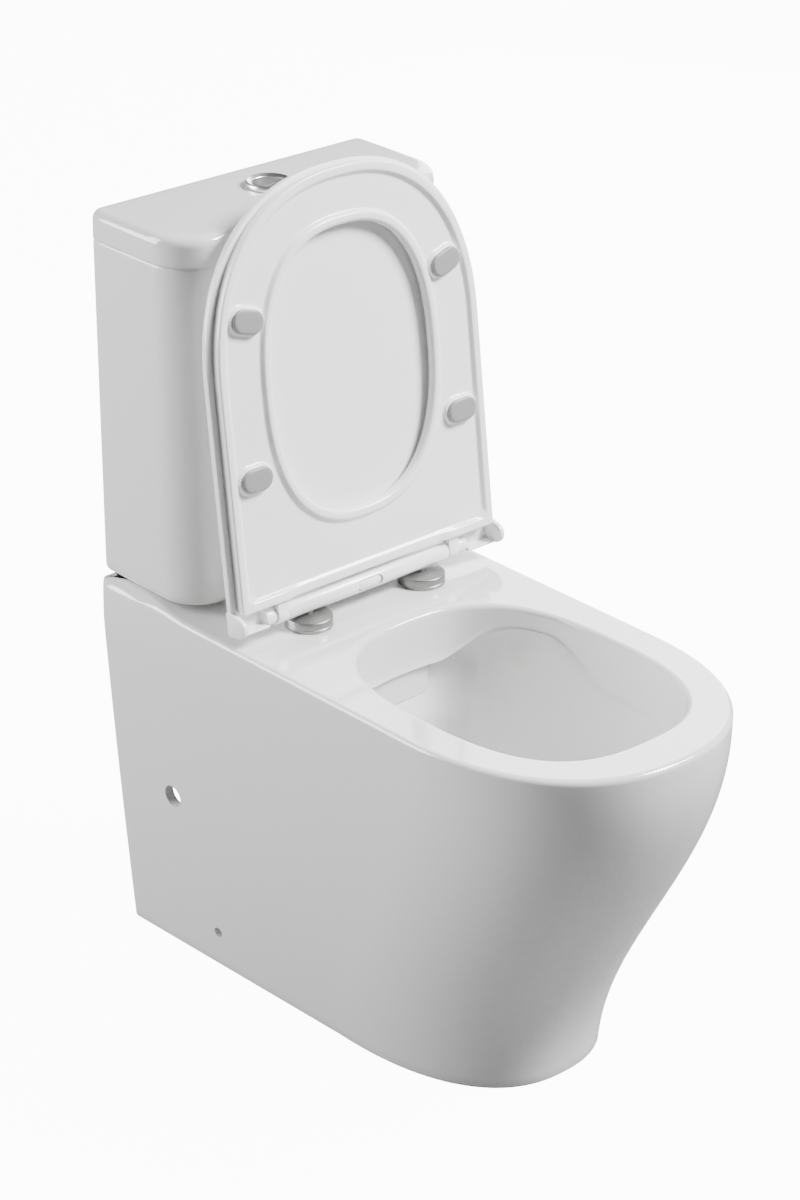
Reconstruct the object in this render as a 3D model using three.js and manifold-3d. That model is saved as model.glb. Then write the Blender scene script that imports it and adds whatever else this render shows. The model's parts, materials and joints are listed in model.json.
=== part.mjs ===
// Close coupled toilet: back-to-wall skirted pan, tank, dual flush valve, fill valve
// and a quick-release seat with a slim lid, as one three.js scene graph.
//
// Millimetres, +Z up, +Y towards the wall, -Y towards the user, +X to the user's right
// when facing the tank. The origin is on the floor, under the middle of the pan's depth.

import * as THREE from 'three';
import { mergeVertices } from 'three/addons/utils/BufferGeometryUtils.js';
import Module from 'manifold-3d';

const wasm = await Module();
wasm.setup();

// ---------------------------------------------------------------- driving dimensions

const gap = 0.3; // between pieces that rest on each other
const runClearance = 0.4; // between a moving pin and its hole
const facets = { large: 20, middle: 14, small: 10 }; // sides of a round piece, by its size

const pan = {
  depth: 665, // wall to the tip of the rim
  deckHeight: 418, // rim and deck above the floor
  platformRise: 6, // tank platform above the deck
  platformDepth: 158, // wall to the step in front of the tank
  backHalfFoot: 139.5, // half width at the wall, on the floor
  backHalfTop: 174.5, // half width at the wall, at the widest
  widestHeight: 375,
  noseHalfFoot: 128, // half width where the nose starts, on the floor
  noseHalfTop: 172.5,
  noseLength: 203, // straight side to tip
  footFromWall: 527.7, // wall to the toe on the floor
  wall: 11, // skirt thickness
  deckThick: 16,
  edge: 6, // rounded edge of the rim
};

const bowl = {
  halfWidth: 128, // rim opening
  halfLength: 167,
  fromWall: 445, // wall to the opening's centre
  power: 2.7, // superellipse power of the opening
  band: 58, // height of the steep band below the rim
  wall: 10,
  sumpHeight: 78, // floor to the lowest inside point
  sumpHalfWidth: 42,
  sumpHalfLength: 48,
  sumpFromWall: 345,
};

const trap = {
  boreRadius: 38,
  wall: 9,
  outletHeight: 180,
  outletRadius: 51, // outside of the spigot
  outletFromWall: 48, // wall to the spigot's end
  crestHeight: 236,
};

const duct = { halfWidth: 30, height: 36, wall: 9, depthBelowDeck: 48 };

const sideHole = {
  upperHeight: 195,
  upperFromWall: 94,
  upperRadius: 12.5,
  keyRadius: 5,
  lowerHeight: 45,
  lowerFromWall: 146,
  lowerRadius: 6,
};

const rearOpening = { halfWidth: 108, height: 300 };

const tank = {
  lift: 3, // gap between the platform and the tank
  height: 368,
  halfWidthFoot: 170.3,
  halfWidthTop: 176.9,
  depth: 143,
  cornerRadius: 46,
  backCorner: 8,
  footEdge: 12,
  wall: 9,
  floor: 13,
};

const tankLid = {
  halfWidth: 179.6,
  depth: 147,
  height: 32,
  plate: 14, // thickness of the top
  rim: 18, // width of the rim that sits on the tank
  edge: 9,
  ribDepth: 10,
  ribThick: 5,
  ribClearance: 1,
};

const valve = {
  spigotRadius: 29,
  spigotBore: 25,
  nutRadius: 40,
  flangeRadius: 42,
  seatBore: 24,
  gasketOuter: 56,
  gasketDepth: 22,
  inletRadius: 32,
  postCircle: 34,
  postRadius: 3.5,
  headBelowRim: 91.7, // tank's top to the underside of the head frame
  headThick: 14,
  coreRadius: 15,
  coreBore: 12.5,
  coreShare: 0.583, // the core reaches this far from flange to head frame
  coreLift: 12,
  overflowRadius: 12.1,
  overflowBore: 10.5,
  sealThick: 3,
};

const key = { halfWidth: 14, thick: 6, pivot: 36, pinRadius: 2, earWidth: 6, reach: 1 };

const tankBolt = { spread: 82, radius: 4, hole: 5.2, sealRadius: 13, nutRadius: 9 };

const fill = {
  side: 125, // off the centre line, on the left
  tailRadius: 10.3,
  hole: 11,
  tailLength: 52,
  nutRadius: 17,
  platformHole: 21,
  columnRadius: 11,
  columnBelowRim: 68, // tank's top to the head on the column
  floatRadius: 25,
  floatHeight: 62,
  floatTravel: 25,
};

const button = {
  fromWall: 66.5, // wall to the button's axis, which the flush valve shares
  bezelRadius: 24.5,
  stemRadius: 19.4,
  boreRadius: 17.6,
  faceRadius: 17.1,
  lidHole: 20,
  rise: 6, // bezel above the lid
  travel: 8,
  rodSpread: 9.5,
  rodRadius: 2.5,
  stemLength: 34,
  webDepth: 22, // lid's top to the top of the spring web
  springRadius: 4.5,
  springWire: 0.5,
  faceThick: 6,
  lensRadius: 22, // curve that parts the small button from the large one
  lensFront: 6, // that curve's highest point in front of the axis
};

const seat = {
  axleFromWall: 215.7, // wall to the hinge axle
  axleAboveDeck: 24.4,
  openAngle: 98, // degrees from level to resting open
  closedDip: 1.05, // degrees that the closed seat dips to the front
  lidHalfWidth: 178.5,
  lidLength: 437, // axle to the tip
  lidTop: 4.5, // closed lid's top above the axle
  lidThick: 8.5,
  lidSkin: 5.5,
  ringHalfWidth: 171.5,
  ringLength: 434,
  ringTop: -4.3,
  ringThick: 10.4,
  ringEdge: 1.5,
  lip: 10, // width of the raised lips under the ring
  lipDepth: 4,
  noseLength: 190,
  nosePower: 2.3,
  rearEdge: 15, // axle to the back edge of lid and ring
  reliefLength: 28, // slope of the ring's underside in front of the hinge caps
  reliefSkin: 3.7, // ring left above its channel there
  openingCentre: 229.5,
  openingHalfLength: 145.5,
  openingHalfWidth: 106,
  openingPower: 2.45,
};

const hinge = {
  spread: 77.5, // cap centres off the centre line
  fromWall: 218.4, // wall to the caps' centres
  capRadius: 25,
  capHeight: 12,
  capSkin: 1.5,
  postRadius: 4.2,
  deckHole: 7.5,
  nutRadius: 8,
  barrelRadius: 10.5,
  barrelHalf: 110,
  knuckleRadius: 10.8,
  knuckleWidth: 13,
  collarRadius: 8.8, // the lid's knuckle
  collarWidth: 13,
  collarEnd: 3, // closed end of its bore
  pinRadius: 4.4,
  earThick: 5,
  earRadius: 10.8, // rounded front of the ear
  earForward: 3.5, // that curve's centre from the axle, seat closed
  earDrop: 11.5,
  coverSkin: 2.6, // curled back of the lid beside the ears
  coverDepth: 11, // axle to the free edge of the curl
  damperRadius: 5.8,
  damperLength: 21.6, // inside the barrel
};

const release = {
  halfLength: 17, // pocket in the barrel for the release button, from its middle
  halfHeight: 6,
};

const bumper = {
  halfLength: 19,
  halfWidth: 12,
  thick: 3.7,
  bossGrow: 2,
  bossHeight: 3.5, // above the ring's channel
  sideFront: 131,
  forwardFront: 308,
  sideBack: 138,
  forwardBack: 149,
  turnFront: 17, // degrees
};

// ---------------------------------------------------------------- places worked out from them

const wallY = pan.depth / 2;
const deckZ = pan.deckHeight;
const platformZ = deckZ + pan.platformRise;
const tankZ = platformZ + tank.lift;
const tankTopZ = tankZ + tank.height;
const tankFloorZ = tankZ + tank.floor;
const lidZ = tankTopZ + gap;
const lidTopZ = lidZ + tankLid.height;
const flushY = wallY - button.fromWall;
const capY = wallY - hinge.fromWall;
const axleY = wallY - seat.axleFromWall;
const axleZ = deckZ + seat.axleAboveDeck;
const bowlY = wallY - bowl.fromWall;
const ringUnder = seat.ringTop - seat.ringThick;

// ---------------------------------------------------------------- materials

const colours = {
  china: { color: 0xf3f3f1, roughness: 0.08, metalness: 0 },
  seatPlastic: { color: 0xf1f1ef, roughness: 0.18, metalness: 0 },
  chrome: { color: 0xc9c9c9, roughness: 0.12, metalness: 1 },
  brushed: { color: 0xa8a6a2, roughness: 0.38, metalness: 1 },
  steel: { color: 0x9a9a98, roughness: 0.35, metalness: 1 },
  bumperGrey: { color: 0xb0b1b1, roughness: 0.6, metalness: 0 },
  rubber: { color: 0x2b2b2b, roughness: 0.8, metalness: 0 },
  valveWhite: { color: 0xdfe3e4, roughness: 0.4, metalness: 0 },
  valveBlue: { color: 0x3c7fb5, roughness: 0.4, metalness: 0 },
};
const materials = Object.fromEntries(
  Object.entries(colours).map(([name, look]) => [name, () => new THREE.MeshStandardMaterial(look)]),
);

// ---------------------------------------------------------------- shape helpers

/** A manifold solid from a closed three.js geometry. */
function solid(geometry) {
  const bare = geometry.clone();
  bare.deleteAttribute('normal');
  bare.deleteAttribute('uv');
  const merged = mergeVertices(bare, 1e-4);
  return new wasm.Manifold(new wasm.Mesh({
    numProp: 3,
    vertProperties: new Float32Array(merged.attributes.position.array),
    triVerts: new Uint32Array(merged.index.array),
  }));
}

/** A three.js geometry from a manifold solid. */
function geometryOf(body) {
  const mesh = body.getMesh();
  const geometry = new THREE.BufferGeometry();
  geometry.setAttribute('position', new THREE.BufferAttribute(mesh.vertProperties, 3));
  geometry.setIndex(new THREE.BufferAttribute(mesh.triVerts, 1));
  return geometry;
}

/** Closed surface through rings of equal point count, capped flat at both ends. */
function loft(rings) {
  const count = rings[0].length;
  const points = rings.flat();
  const index = [];
  for (let level = 0; level < rings.length - 1; level += 1) {
    for (let i = 0; i < count; i += 1) {
      const next = (i + 1) % count;
      const a = level * count + i;
      const b = level * count + next;
      index.push(a, b, a + count, b, b + count, a + count);
    }
  }
  [0, rings.length - 1].forEach((level) => {
    const ring = rings[level];
    const centre = ring.reduce((sum, p) => sum.add(p), new THREE.Vector3()).divideScalar(count);
    points.push(centre);
    const hub = points.length - 1;
    for (let i = 0; i < count; i += 1) {
      const a = level * count + i;
      const b = level * count + ((i + 1) % count);
      index.push(...(level === 0 ? [hub, b, a] : [hub, a, b]));
    }
  });
  const geometry = new THREE.BufferGeometry().setFromPoints(points);
  geometry.setIndex(index);
  return solid(geometry);
}

function box(x0, x1, y0, y1, z0, z1) {
  const geometry = new THREE.BoxGeometry(x1 - x0, y1 - y0, z1 - z0);
  geometry.translate((x0 + x1) / 2, (y0 + y1) / 2, (z0 + z1) / 2);
  return solid(geometry);
}

function cylinder(radius, length, segments) {
  return new THREE.CylinderGeometry(radius, radius, length, segments);
}

/** Upright rod between two heights. */
function rodZ(radius, x, y, z0, z1, segments = facets.middle) {
  const geometry = cylinder(radius, z1 - z0, segments).rotateX(Math.PI / 2);
  return solid(geometry.translate(x, y, (z0 + z1) / 2));
}

function rodX(radius, x0, x1, y, z, segments = facets.middle) {
  const geometry = cylinder(radius, x1 - x0, segments).rotateZ(Math.PI / 2);
  return solid(geometry.translate((x0 + x1) / 2, y, z));
}

function rodY(radius, x, y0, y1, z, segments = facets.small) {
  return solid(cylinder(radius, y1 - y0, segments).translate(x, (y0 + y1) / 2, z));
}

/** Turned piece about an upright axis, from [radius, height] pairs. */
function turned(profile, x, y, segments = facets.large) {
  const points = profile.map(([r, z]) => new THREE.Vector2(r, z));
  const geometry = new THREE.LatheGeometry(points, segments).rotateX(Math.PI / 2);
  return solid(geometry.translate(x, y, 0));
}

/** Upright ring: a tube wall between two heights. */
function ringZ(outer, inner, x, y, z0, z1, segments = facets.large) {
  return turned([[inner, z0], [outer, z0], [outer, z1], [inner, z1], [inner, z0]], x, y, segments);
}

function add(...bodies) {
  return bodies.reduce((sum, body) => sum.add(body));
}

function cut(body, ...tools) {
  return tools.reduce((left, tool) => left.subtract(tool), body);
}

/** Both hands of a piece: the same maker called with side -1 and +1. */
function bothSides(make) {
  [['left', -1], ['right', 1]].forEach(([hand, side]) => make(hand, side));
}

const model = new THREE.Group();

function place(name, body, material, group = model) {
  const mesh = new THREE.Mesh(geometryOf(body), materials[material]());
  mesh.name = name;
  group.add(mesh);
}

/** Smooth step from 0 to 1 over the unit range. */
function ease(t) {
  const s = Math.min(Math.max(t, 0), 1);
  return s * s * (3 - 2 * s);
}

/** Superellipse ring, counter-clockwise seen from above. */
function superRing(halfX, halfY, x, y, z, power, count) {
  return Array.from({ length: count }, (_, i) => {
    const angle = (2 * Math.PI * i) / count;
    const c = Math.cos(angle);
    const s = Math.sin(angle);
    return new THREE.Vector3(
      x + halfX * Math.sign(c) * Math.abs(c) ** (2 / power),
      y + halfY * Math.sign(s) * Math.abs(s) ** (2 / power),
      z,
    );
  });
}

/**
 * Ring with a straight back, rounded back corners, straight sides and a curved nose,
 * counter-clockwise seen from above.
 */
function noseRing(outline, z, sideSteps = 2, noseSteps = 8) {
  const { backY, backHalf, corner, sideHalf, noseY, tipY, power } = outline;
  const half = [];
  for (let i = 0; i <= 2; i += 1) {
    const angle = (Math.PI / 2) * (1 - i / 2);
    half.push([
      backHalf - corner + corner * Math.cos(angle),
      backY - corner + corner * Math.sin(angle),
    ]);
  }
  for (let i = 1; i < sideSteps; i += 1) {
    const t = i / sideSteps;
    const from = backY - corner;
    half.push([backHalf + (sideHalf - backHalf) * t, from + (noseY - from) * t]);
  }
  for (let i = 0; i < noseSteps; i += 1) {
    const angle = (Math.PI / 2) * (i / noseSteps);
    half.push([
      sideHalf * Math.cos(angle) ** (2 / power),
      noseY - (noseY - tipY) * Math.sin(angle) ** (2 / power),
    ]);
  }
  const right = half.map(([x, y]) => new THREE.Vector3(x, y, z)).reverse();
  const left = half.map(([x, y]) => new THREE.Vector3(-x, y, z));
  return [new THREE.Vector3(0, tipY, z), ...right, ...left];
}

/** Rectangular ring with one radius at the front corners and another at the back. */
function cornerRing({ half, frontY, backY, frontCorner, backCorner }, z, steps = 4) {
  const corners = [
    [half - frontCorner, frontY + frontCorner, frontCorner, -90],
    [half - backCorner, backY - backCorner, backCorner, 0],
    [backCorner - half, backY - backCorner, backCorner, 90],
    [frontCorner - half, frontY + frontCorner, frontCorner, 180],
  ];
  return corners.flatMap(([x, y, radius, start]) => Array.from({ length: steps + 1 }, (_, i) => {
    const angle = THREE.MathUtils.degToRad(start + (90 * i) / steps);
    return new THREE.Vector3(x + radius * Math.cos(angle), y + radius * Math.sin(angle), z);
  }));
}

/** Steps of a rounded edge: [how far in, how far below the top] for a quarter circle. */
function edgeSteps(radius, steps = 3) {
  return Array.from({ length: steps + 1 }, (_, i) => {
    const angle = (Math.PI / 2) * (i / steps);
    return [radius * (1 - Math.cos(angle)), radius * (1 - Math.sin(angle))];
  });
}

/** Round tube or rod along a smooth path in the middle plane, from [y, z] points. */
function alongPath(radius, points, steps = 9, sides = facets.middle) {
  const disc = new THREE.Shape(Array.from({ length: sides }, (_, i) => {
    const angle = (2 * Math.PI * i) / sides;
    return new THREE.Vector2(radius * Math.cos(angle), radius * Math.sin(angle));
  }));
  const path = new THREE.CatmullRomCurve3(points.map(([y, z]) => new THREE.Vector3(0, y, z)));
  return solid(new THREE.ExtrudeGeometry(disc, { steps, bevelEnabled: false, extrudePath: path }));
}

/** Upright slab with round ends, turned about its middle. */
function capsule(halfLength, halfWidth, x, y, z0, z1, turn = 0) {
  const flat = halfLength - halfWidth;
  const outline = new THREE.Shape();
  outline.absarc(flat, 0, halfWidth, -Math.PI / 2, Math.PI / 2);
  outline.absarc(-flat, 0, halfWidth, Math.PI / 2, (3 * Math.PI) / 2);
  const settings = { depth: z1 - z0, bevelEnabled: false, curveSegments: 4 };
  const slab = new THREE.ExtrudeGeometry(outline, settings);
  slab.rotateZ(THREE.MathUtils.degToRad(turn));
  return solid(slab.translate(x, y, z0));
}

// ---------------------------------------------------------------- pan

/** Outline of the skirt at a height, moved in by a wall thickness where one is given. */
function skirtRing(z, inset = 0) {
  const widening = Math.min(Math.max(z / pan.widestHeight, 0), 1);
  const rise = Math.min(Math.max(z / deckZ, 0), 1);
  const backHalf = THREE.MathUtils.lerp(
    pan.backHalfFoot,
    pan.backHalfTop,
    1.15 * widening - 0.15 * widening ** 2,
  );
  const sideHalf = THREE.MathUtils.lerp(
    pan.noseHalfFoot,
    pan.noseHalfTop,
    Math.min(1.46 * rise - 0.46 * rise ** 2, 1),
  );
  const reach = THREE.MathUtils.lerp(pan.footFromWall, pan.depth, ease(1.06 * rise));
  const tipY = wallY - reach;
  return noseRing({
    backY: wallY - inset,
    backHalf: backHalf - inset,
    corner: pan.edge,
    sideHalf: sideHalf - inset,
    noseY: tipY + pan.noseLength,
    tipY: tipY + inset,
    power: 2.4 - 0.2 * rise,
  }, z);
}

/** Inside of the bowl at a height: a steep band, a soft shelf, then down to the sump. */
function bowlRing(z, grow = 0, count = 24) {
  const bandZ = deckZ - bowl.band;
  const depth = Math.min(Math.max((bandZ - z) / (bandZ - bowl.sumpHeight), 0), 1);
  const inward = 0.45 * depth + 0.55 * ease(depth);
  const shelf = z < bandZ ? 5 : 0;
  const half = THREE.MathUtils.lerp(bowl.halfWidth - shelf, bowl.sumpHalfWidth, inward);
  const length = THREE.MathUtils.lerp(bowl.halfLength - shelf, bowl.sumpHalfLength, inward);
  const y = THREE.MathUtils.lerp(bowlY, wallY - bowl.sumpFromWall, inward);
  const power = THREE.MathUtils.lerp(bowl.power, 2.2, inward);
  return superRing(half + grow, length + grow, 0, y, z, power, count);
}

function bowlHollow() {
  const floorZ = bowl.sumpHeight;
  const bandZ = deckZ - bowl.band;
  const rimFlare = 3;
  const slope = Array.from({ length: 7 }, (_, i) => {
    const z = THREE.MathUtils.lerp(floorZ + 20, bandZ - 3, i / 6);
    return bowlRing(z);
  });
  return loft([
    bowlRing(floorZ, -14),
    bowlRing(floorZ + 6, -4),
    ...slope,
    bowlRing(bandZ + 1, -1),
    bowlRing(deckZ - rimFlare),
    bowlRing(deckZ, rimFlare),
    bowlRing(deckZ + pan.edge, rimFlare),
  ]);
}

function bowlShell() {
  const bottom = bowl.sumpHeight - bowl.wall;
  const top = deckZ - pan.edge;
  const rings = Array.from({ length: 6 }, (_, i) => {
    const z = THREE.MathUtils.lerp(bottom, top, i / 5);
    return bowlRing(z, bowl.wall);
  });
  return loft(rings);
}

/** Middle line of the trapway: out of the sump, over the crest and back to the outlet. */
function trapPath() {
  const startY = wallY - bowl.sumpFromWall;
  const startZ = bowl.sumpHeight + trap.boreRadius + 2;
  const endY = wallY - trap.outletFromWall;
  const crestY = (startY + endY) / 2 + 40;
  return [
    [startY, startZ],
    [startY + 58, startZ + 8],
    [crestY - 68, trap.crestHeight - 62],
    [crestY - 30, trap.crestHeight - 12],
    [crestY + 10, trap.crestHeight],
    [endY - 70, trap.outletHeight + 30],
    [endY - 36, trap.outletHeight + 2],
    [endY - 20, trap.outletHeight],
  ];
}

function outletRod(radius, past) {
  const endY = wallY - trap.outletFromWall;
  return rodY(radius, 0, endY - 36, endY + past, trap.outletHeight, facets.large);
}

/** Water way from the flush valve, under the deck, to the pocket behind the shroud. */
function ductBody() {
  const topZ = deckZ - duct.depthBelowDeck;
  const half = duct.halfWidth + duct.wall;
  const backY = flushY + valve.inletRadius + duct.wall;
  const floorZ = topZ - duct.height - duct.wall;
  return add(
    box(-half, half, bowlBackY() + 14, flushY, floorZ, topZ + duct.wall),
    rodZ(valve.inletRadius + duct.wall, 0, flushY, floorZ, deckZ - 2, facets.large),
    box(-half - 29, half + 29, bowlBackY() - 6, bowlBackY() + 36, floorZ - 10, deckZ - 2),
  ).intersect(box(-wallY, wallY, -wallY, backY, 0, deckZ));
}

function ductHollow() {
  const topZ = deckZ - duct.depthBelowDeck;
  const floorZ = topZ - duct.height;
  const pocketZ = deckZ - bowl.band;
  return add(
    box(-duct.halfWidth, duct.halfWidth, bowlBackY() + 20, flushY, floorZ, topZ),
    rodZ(valve.inletRadius, 0, flushY, floorZ, platformZ + 1, facets.large),
    box(-58, 58, bowlBackY() - 12, bowlBackY() + 26, floorZ - 9, pocketZ),
  );
}

function bowlBackY() {
  return bowlY + bowl.halfLength;
}

/** Openings in the skirt: round side holes with a keyhole notch, and the rear service opening. */
function skirtHoles() {
  const tools = [-1, 1].flatMap((side) => {
    const inner = side * (pan.backHalfFoot - 45);
    const outer = side * (pan.backHalfTop + 20);
    const [x0, x1] = [Math.min(inner, outer), Math.max(inner, outer)];
    const upperY = wallY - sideHole.upperFromWall;
    const lowerY = wallY - sideHole.lowerFromWall;
    const notch = sideHole.upperRadius * 0.75;
    return [
      rodX(sideHole.upperRadius, x0, x1, upperY, sideHole.upperHeight),
      rodX(sideHole.keyRadius, x0, x1, upperY - notch, sideHole.upperHeight - notch, 12),
      rodX(sideHole.lowerRadius, x0, x1, lowerY, sideHole.lowerHeight, 14),
    ];
  });
  const rear = box(
    -rearOpening.halfWidth,
    rearOpening.halfWidth,
    wallY - 2 * pan.wall,
    wallY + 5,
    -5,
    rearOpening.height,
  );
  return add(rear, ...tools);
}

function deckHoles() {
  const underZ = deckZ - pan.deckThick - 5;
  const topZ = platformZ + 5;
  const hinges = [-1, 1].map((side) => (
    rodZ(hinge.deckHole, side * hinge.spread, capY, underZ, deckZ + 5)));
  const bolts = [-1, 1].map((side) => (
    rodZ(tankBolt.hole, side * tankBolt.spread, flushY, underZ, topZ, facets.small)));
  return add(
    ...hinges,
    ...bolts,
    rodZ(fill.platformHole, -fill.side, flushY, underZ, topZ),
    rodZ(valve.gasketOuter + 1, 0, flushY, platformZ - valve.gasketDepth, topZ, facets.large),
  );
}

function makePan() {
  const heights = [50, 105, 160, 215, 270, 325, 375];
  const topEdge = edgeSteps(pan.edge).map(([inset, below]) => skirtRing(deckZ - below, inset));
  const skirt = loft([skirtRing(0, 2), skirtRing(3), ...heights.map((z) => skirtRing(z)), ...topEdge]);
  const platformEdge = 5;
  const platformAt = (inset, z) => cornerRing({
    half: pan.backHalfTop - pan.edge - inset,
    frontY: wallY - pan.platformDepth + inset,
    backY: wallY,
    frontCorner: 14,
    backCorner: 4,
  }, z, 3);
  const platform = loft([
    platformAt(0, deckZ - pan.deckThick + 2),
    ...edgeSteps(platformEdge, 2).map(([inset, below]) => platformAt(inset, platformZ - below)),
  ]);
  const cavityTop = deckZ - pan.deckThick;
  const cavity = loft([-5, ...heights, cavityTop].map((z) => skirtRing(z, pan.wall)));
  const gasketSeat = rodZ(
    valve.gasketOuter + 10,
    0,
    flushY,
    platformZ - valve.gasketDepth - 16,
    deckZ - 2,
    facets.large,
  ).intersect(box(-100, 100, 0, wallY, 0, deckZ));
  const inside = add(
    bowlShell(),
    alongPath(trap.boreRadius + trap.wall, trapPath()),
    outletRod(trap.outletRadius, 0),
    ductBody(),
    gasketSeat,
  );
  const body = add(cut(add(skirt, platform), cavity), inside);
  return cut(
    body,
    bowlHollow(),
    alongPath(trap.boreRadius, trapPath()),
    outletRod(trap.outletRadius - trap.wall, 5),
    ductHollow(),
    skirtHoles(),
    deckHoles(),
  );
}

// ---------------------------------------------------------------- tank and its fixings

function tankOutline(z, inset = 0) {
  const rise = (z - tankZ) / tank.height;
  const half = THREE.MathUtils.lerp(tank.halfWidthFoot, tank.halfWidthTop, rise);
  return {
    half: half - inset,
    frontY: wallY - tank.depth + inset,
    backY: wallY - inset,
    frontCorner: tank.cornerRadius - inset,
    backCorner: Math.max(tank.backCorner - inset, 2),
  };
}

function makeTank() {
  const foot = edgeSteps(tank.footEdge).reverse()
    .map(([inset, above]) => cornerRing(tankOutline(tankZ + above, inset), tankZ + above));
  const shell = loft([...foot, cornerRing(tankOutline(tankTopZ), tankTopZ)]);
  const hollow = loft([
    cornerRing(tankOutline(tankFloorZ, tank.wall), tankFloorZ),
    cornerRing(tankOutline(tankTopZ + 5, tank.wall), tankTopZ + 5),
  ]);
  const underZ = tankZ - 5;
  const overZ = tankFloorZ + 5;
  return cut(
    shell,
    hollow,
    rodZ(valve.spigotRadius + 1.5, 0, flushY, underZ, overZ, facets.large),
    rodZ(fill.hole, -fill.side, flushY, underZ, overZ),
    rodZ(tankBolt.hole, -tankBolt.spread, flushY, underZ, overZ, facets.small),
    rodZ(tankBolt.hole, tankBolt.spread, flushY, underZ, overZ, facets.small),
  );
}

function makeTankFixings() {
  const seatZ = platformZ - valve.gasketDepth;
  place('tank_gasket', ringZ(
    valve.gasketOuter,
    valve.nutRadius + 1,
    0,
    flushY,
    seatZ + gap,
    tankZ - gap,
  ), 'rubber');
  const sealTop = tankFloorZ + gap + 3;
  const washerTop = deckZ - pan.deckThick - gap;
  const hole = tankBolt.radius + runClearance;
  bothSides((hand, side) => {
    const x = side * tankBolt.spread;
    const head = rodZ(9, x, flushY, sealTop + gap, sealTop + 6, 6);
    const shank = rodZ(tankBolt.radius, x, flushY, washerTop - 28, sealTop + 3, 12);
    place(`tank_bolt_${hand}`, add(head, shank), 'steel');
    place(`tank_bolt_seal_${hand}`, ringZ(
      tankBolt.sealRadius,
      hole,
      x,
      flushY,
      tankFloorZ + gap,
      sealTop,
      facets.middle,
    ), 'rubber');
    const washer = ringZ(13, hole, x, flushY, washerTop - 2, washerTop, facets.middle);
    place(`tank_bolt_washer_${hand}`, washer, 'steel');
    const nutTop = washerTop - 2 - gap;
    const nut = rodZ(tankBolt.nutRadius, x, flushY, nutTop - 9, nutTop, 12);
    const wing = box(x - 2.5, x + 2.5, flushY - 19, flushY + 19, nutTop - 14, nutTop - 3);
    const bore = rodZ(hole, x, flushY, nutTop - 20, nutTop + 5, 12);
    place(`wing_nut_${hand}`, cut(add(nut, wing), bore), 'valveWhite');
  });
}

// ---------------------------------------------------------------- flush valve

const flangeTop = tankFloorZ + gap + 6;
const headZ = tankTopZ - valve.headBelowRim;
const headTop = headZ + valve.headThick;
const keyTop = headTop + 2 + key.thick;
const pinZ = headTop + 2 + key.thick / 2;

function makeFlushValveBody() {
  const spigot = ringZ(valve.spigotRadius, valve.spigotBore, 0, flushY, tankZ - 22, flangeTop - 1);
  const flange = ringZ(valve.flangeRadius, valve.seatBore, 0, flushY, tankFloorZ + gap, flangeTop);
  const railHalf = 24;
  const frame = cut(
    box(-railHalf, railHalf, flushY - 44, flushY + 44, headZ, headTop),
    box(-17, 17, flushY - 38, flushY + 38, headZ - 1, headTop + 1),
  );
  const posts = [-1, 1].flatMap((sideX) => [-1, 1].map((sideY) => rodZ(
    valve.postRadius,
    sideX * 20.5,
    flushY + sideY * Math.sqrt(valve.postCircle ** 2 - 20.5 ** 2),
    flangeTop - 2,
    headZ + 2,
    8,
  )));
  const ears = [-1, 1].flatMap((sideX) => [-1, 1].map((sideY) => {
    const x = sideX * (railHalf - key.earWidth / 2);
    const y = flushY + sideY * key.pivot;
    return box(x - 3, x + 3, y - 5, y + 5, headTop - 2, pinZ + 5);
  }));
  const pinHoles = [-1, 1].map((sideY) => rodX(
    key.pinRadius + runClearance,
    -railHalf - 5,
    railHalf + 5,
    flushY + sideY * key.pivot,
    pinZ,
    12,
  ));
  return cut(add(spigot, flange, frame, ...posts, ...ears), ...pinHoles);
}

/** Rocking key under one push rod: side +1 is the one nearer the wall. */
function makeKey(side) {
  const inner = flushY + side * key.reach;
  const outer = flushY + side * (key.pivot + 3);
  const plate = box(
    -key.halfWidth,
    key.halfWidth,
    Math.min(inner, outer),
    Math.max(inner, outer),
    headTop + 2,
    keyTop,
  );
  return add(plate, rodX(key.pinRadius, -23, 23, flushY + side * key.pivot, pinZ, 12));
}

function makeFlushValve() {
  place('flush_valve_body', makeFlushValveBody(), 'valveWhite');
  const nut = cut(
    rodZ(valve.nutRadius, 0, flushY, tankZ - gap - 12, tankZ - gap, 6),
    rodZ(valve.spigotRadius + runClearance, 0, flushY, tankZ - 30, tankZ + 5, facets.large),
  );
  place('flush_valve_nut', nut, 'valveWhite');
  const sealZ = flangeTop + gap;
  const discZ = sealZ + valve.sealThick + gap;
  const coreTop = discZ + valve.coreShare * (headZ - flangeTop);
  place('valve_seal', ringZ(29.5, 20, 0, flushY, sealZ, sealZ + valve.sealThick), 'rubber');
  const core = cut(
    add(
      rodZ(27, 0, flushY, discZ, discZ + 4, facets.large),
      rodZ(valve.coreRadius, 0, flushY, discZ, coreTop),
    ),
    rodZ(valve.coreBore, 0, flushY, discZ - 5, coreTop + 5),
  );
  place('valve_core', core, 'valveBlue');
  const overflowTop = headZ - 10;
  place('overflow_tube', ringZ(
    valve.overflowRadius,
    valve.overflowBore,
    0,
    flushY,
    coreTop - 40,
    overflowTop,
    facets.middle,
  ), 'valveWhite');
  place('full_flush_key', makeKey(1), 'valveBlue');
  place('half_flush_key', makeKey(-1), 'valveWhite');
}

// ---------------------------------------------------------------- fill valve

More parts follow.
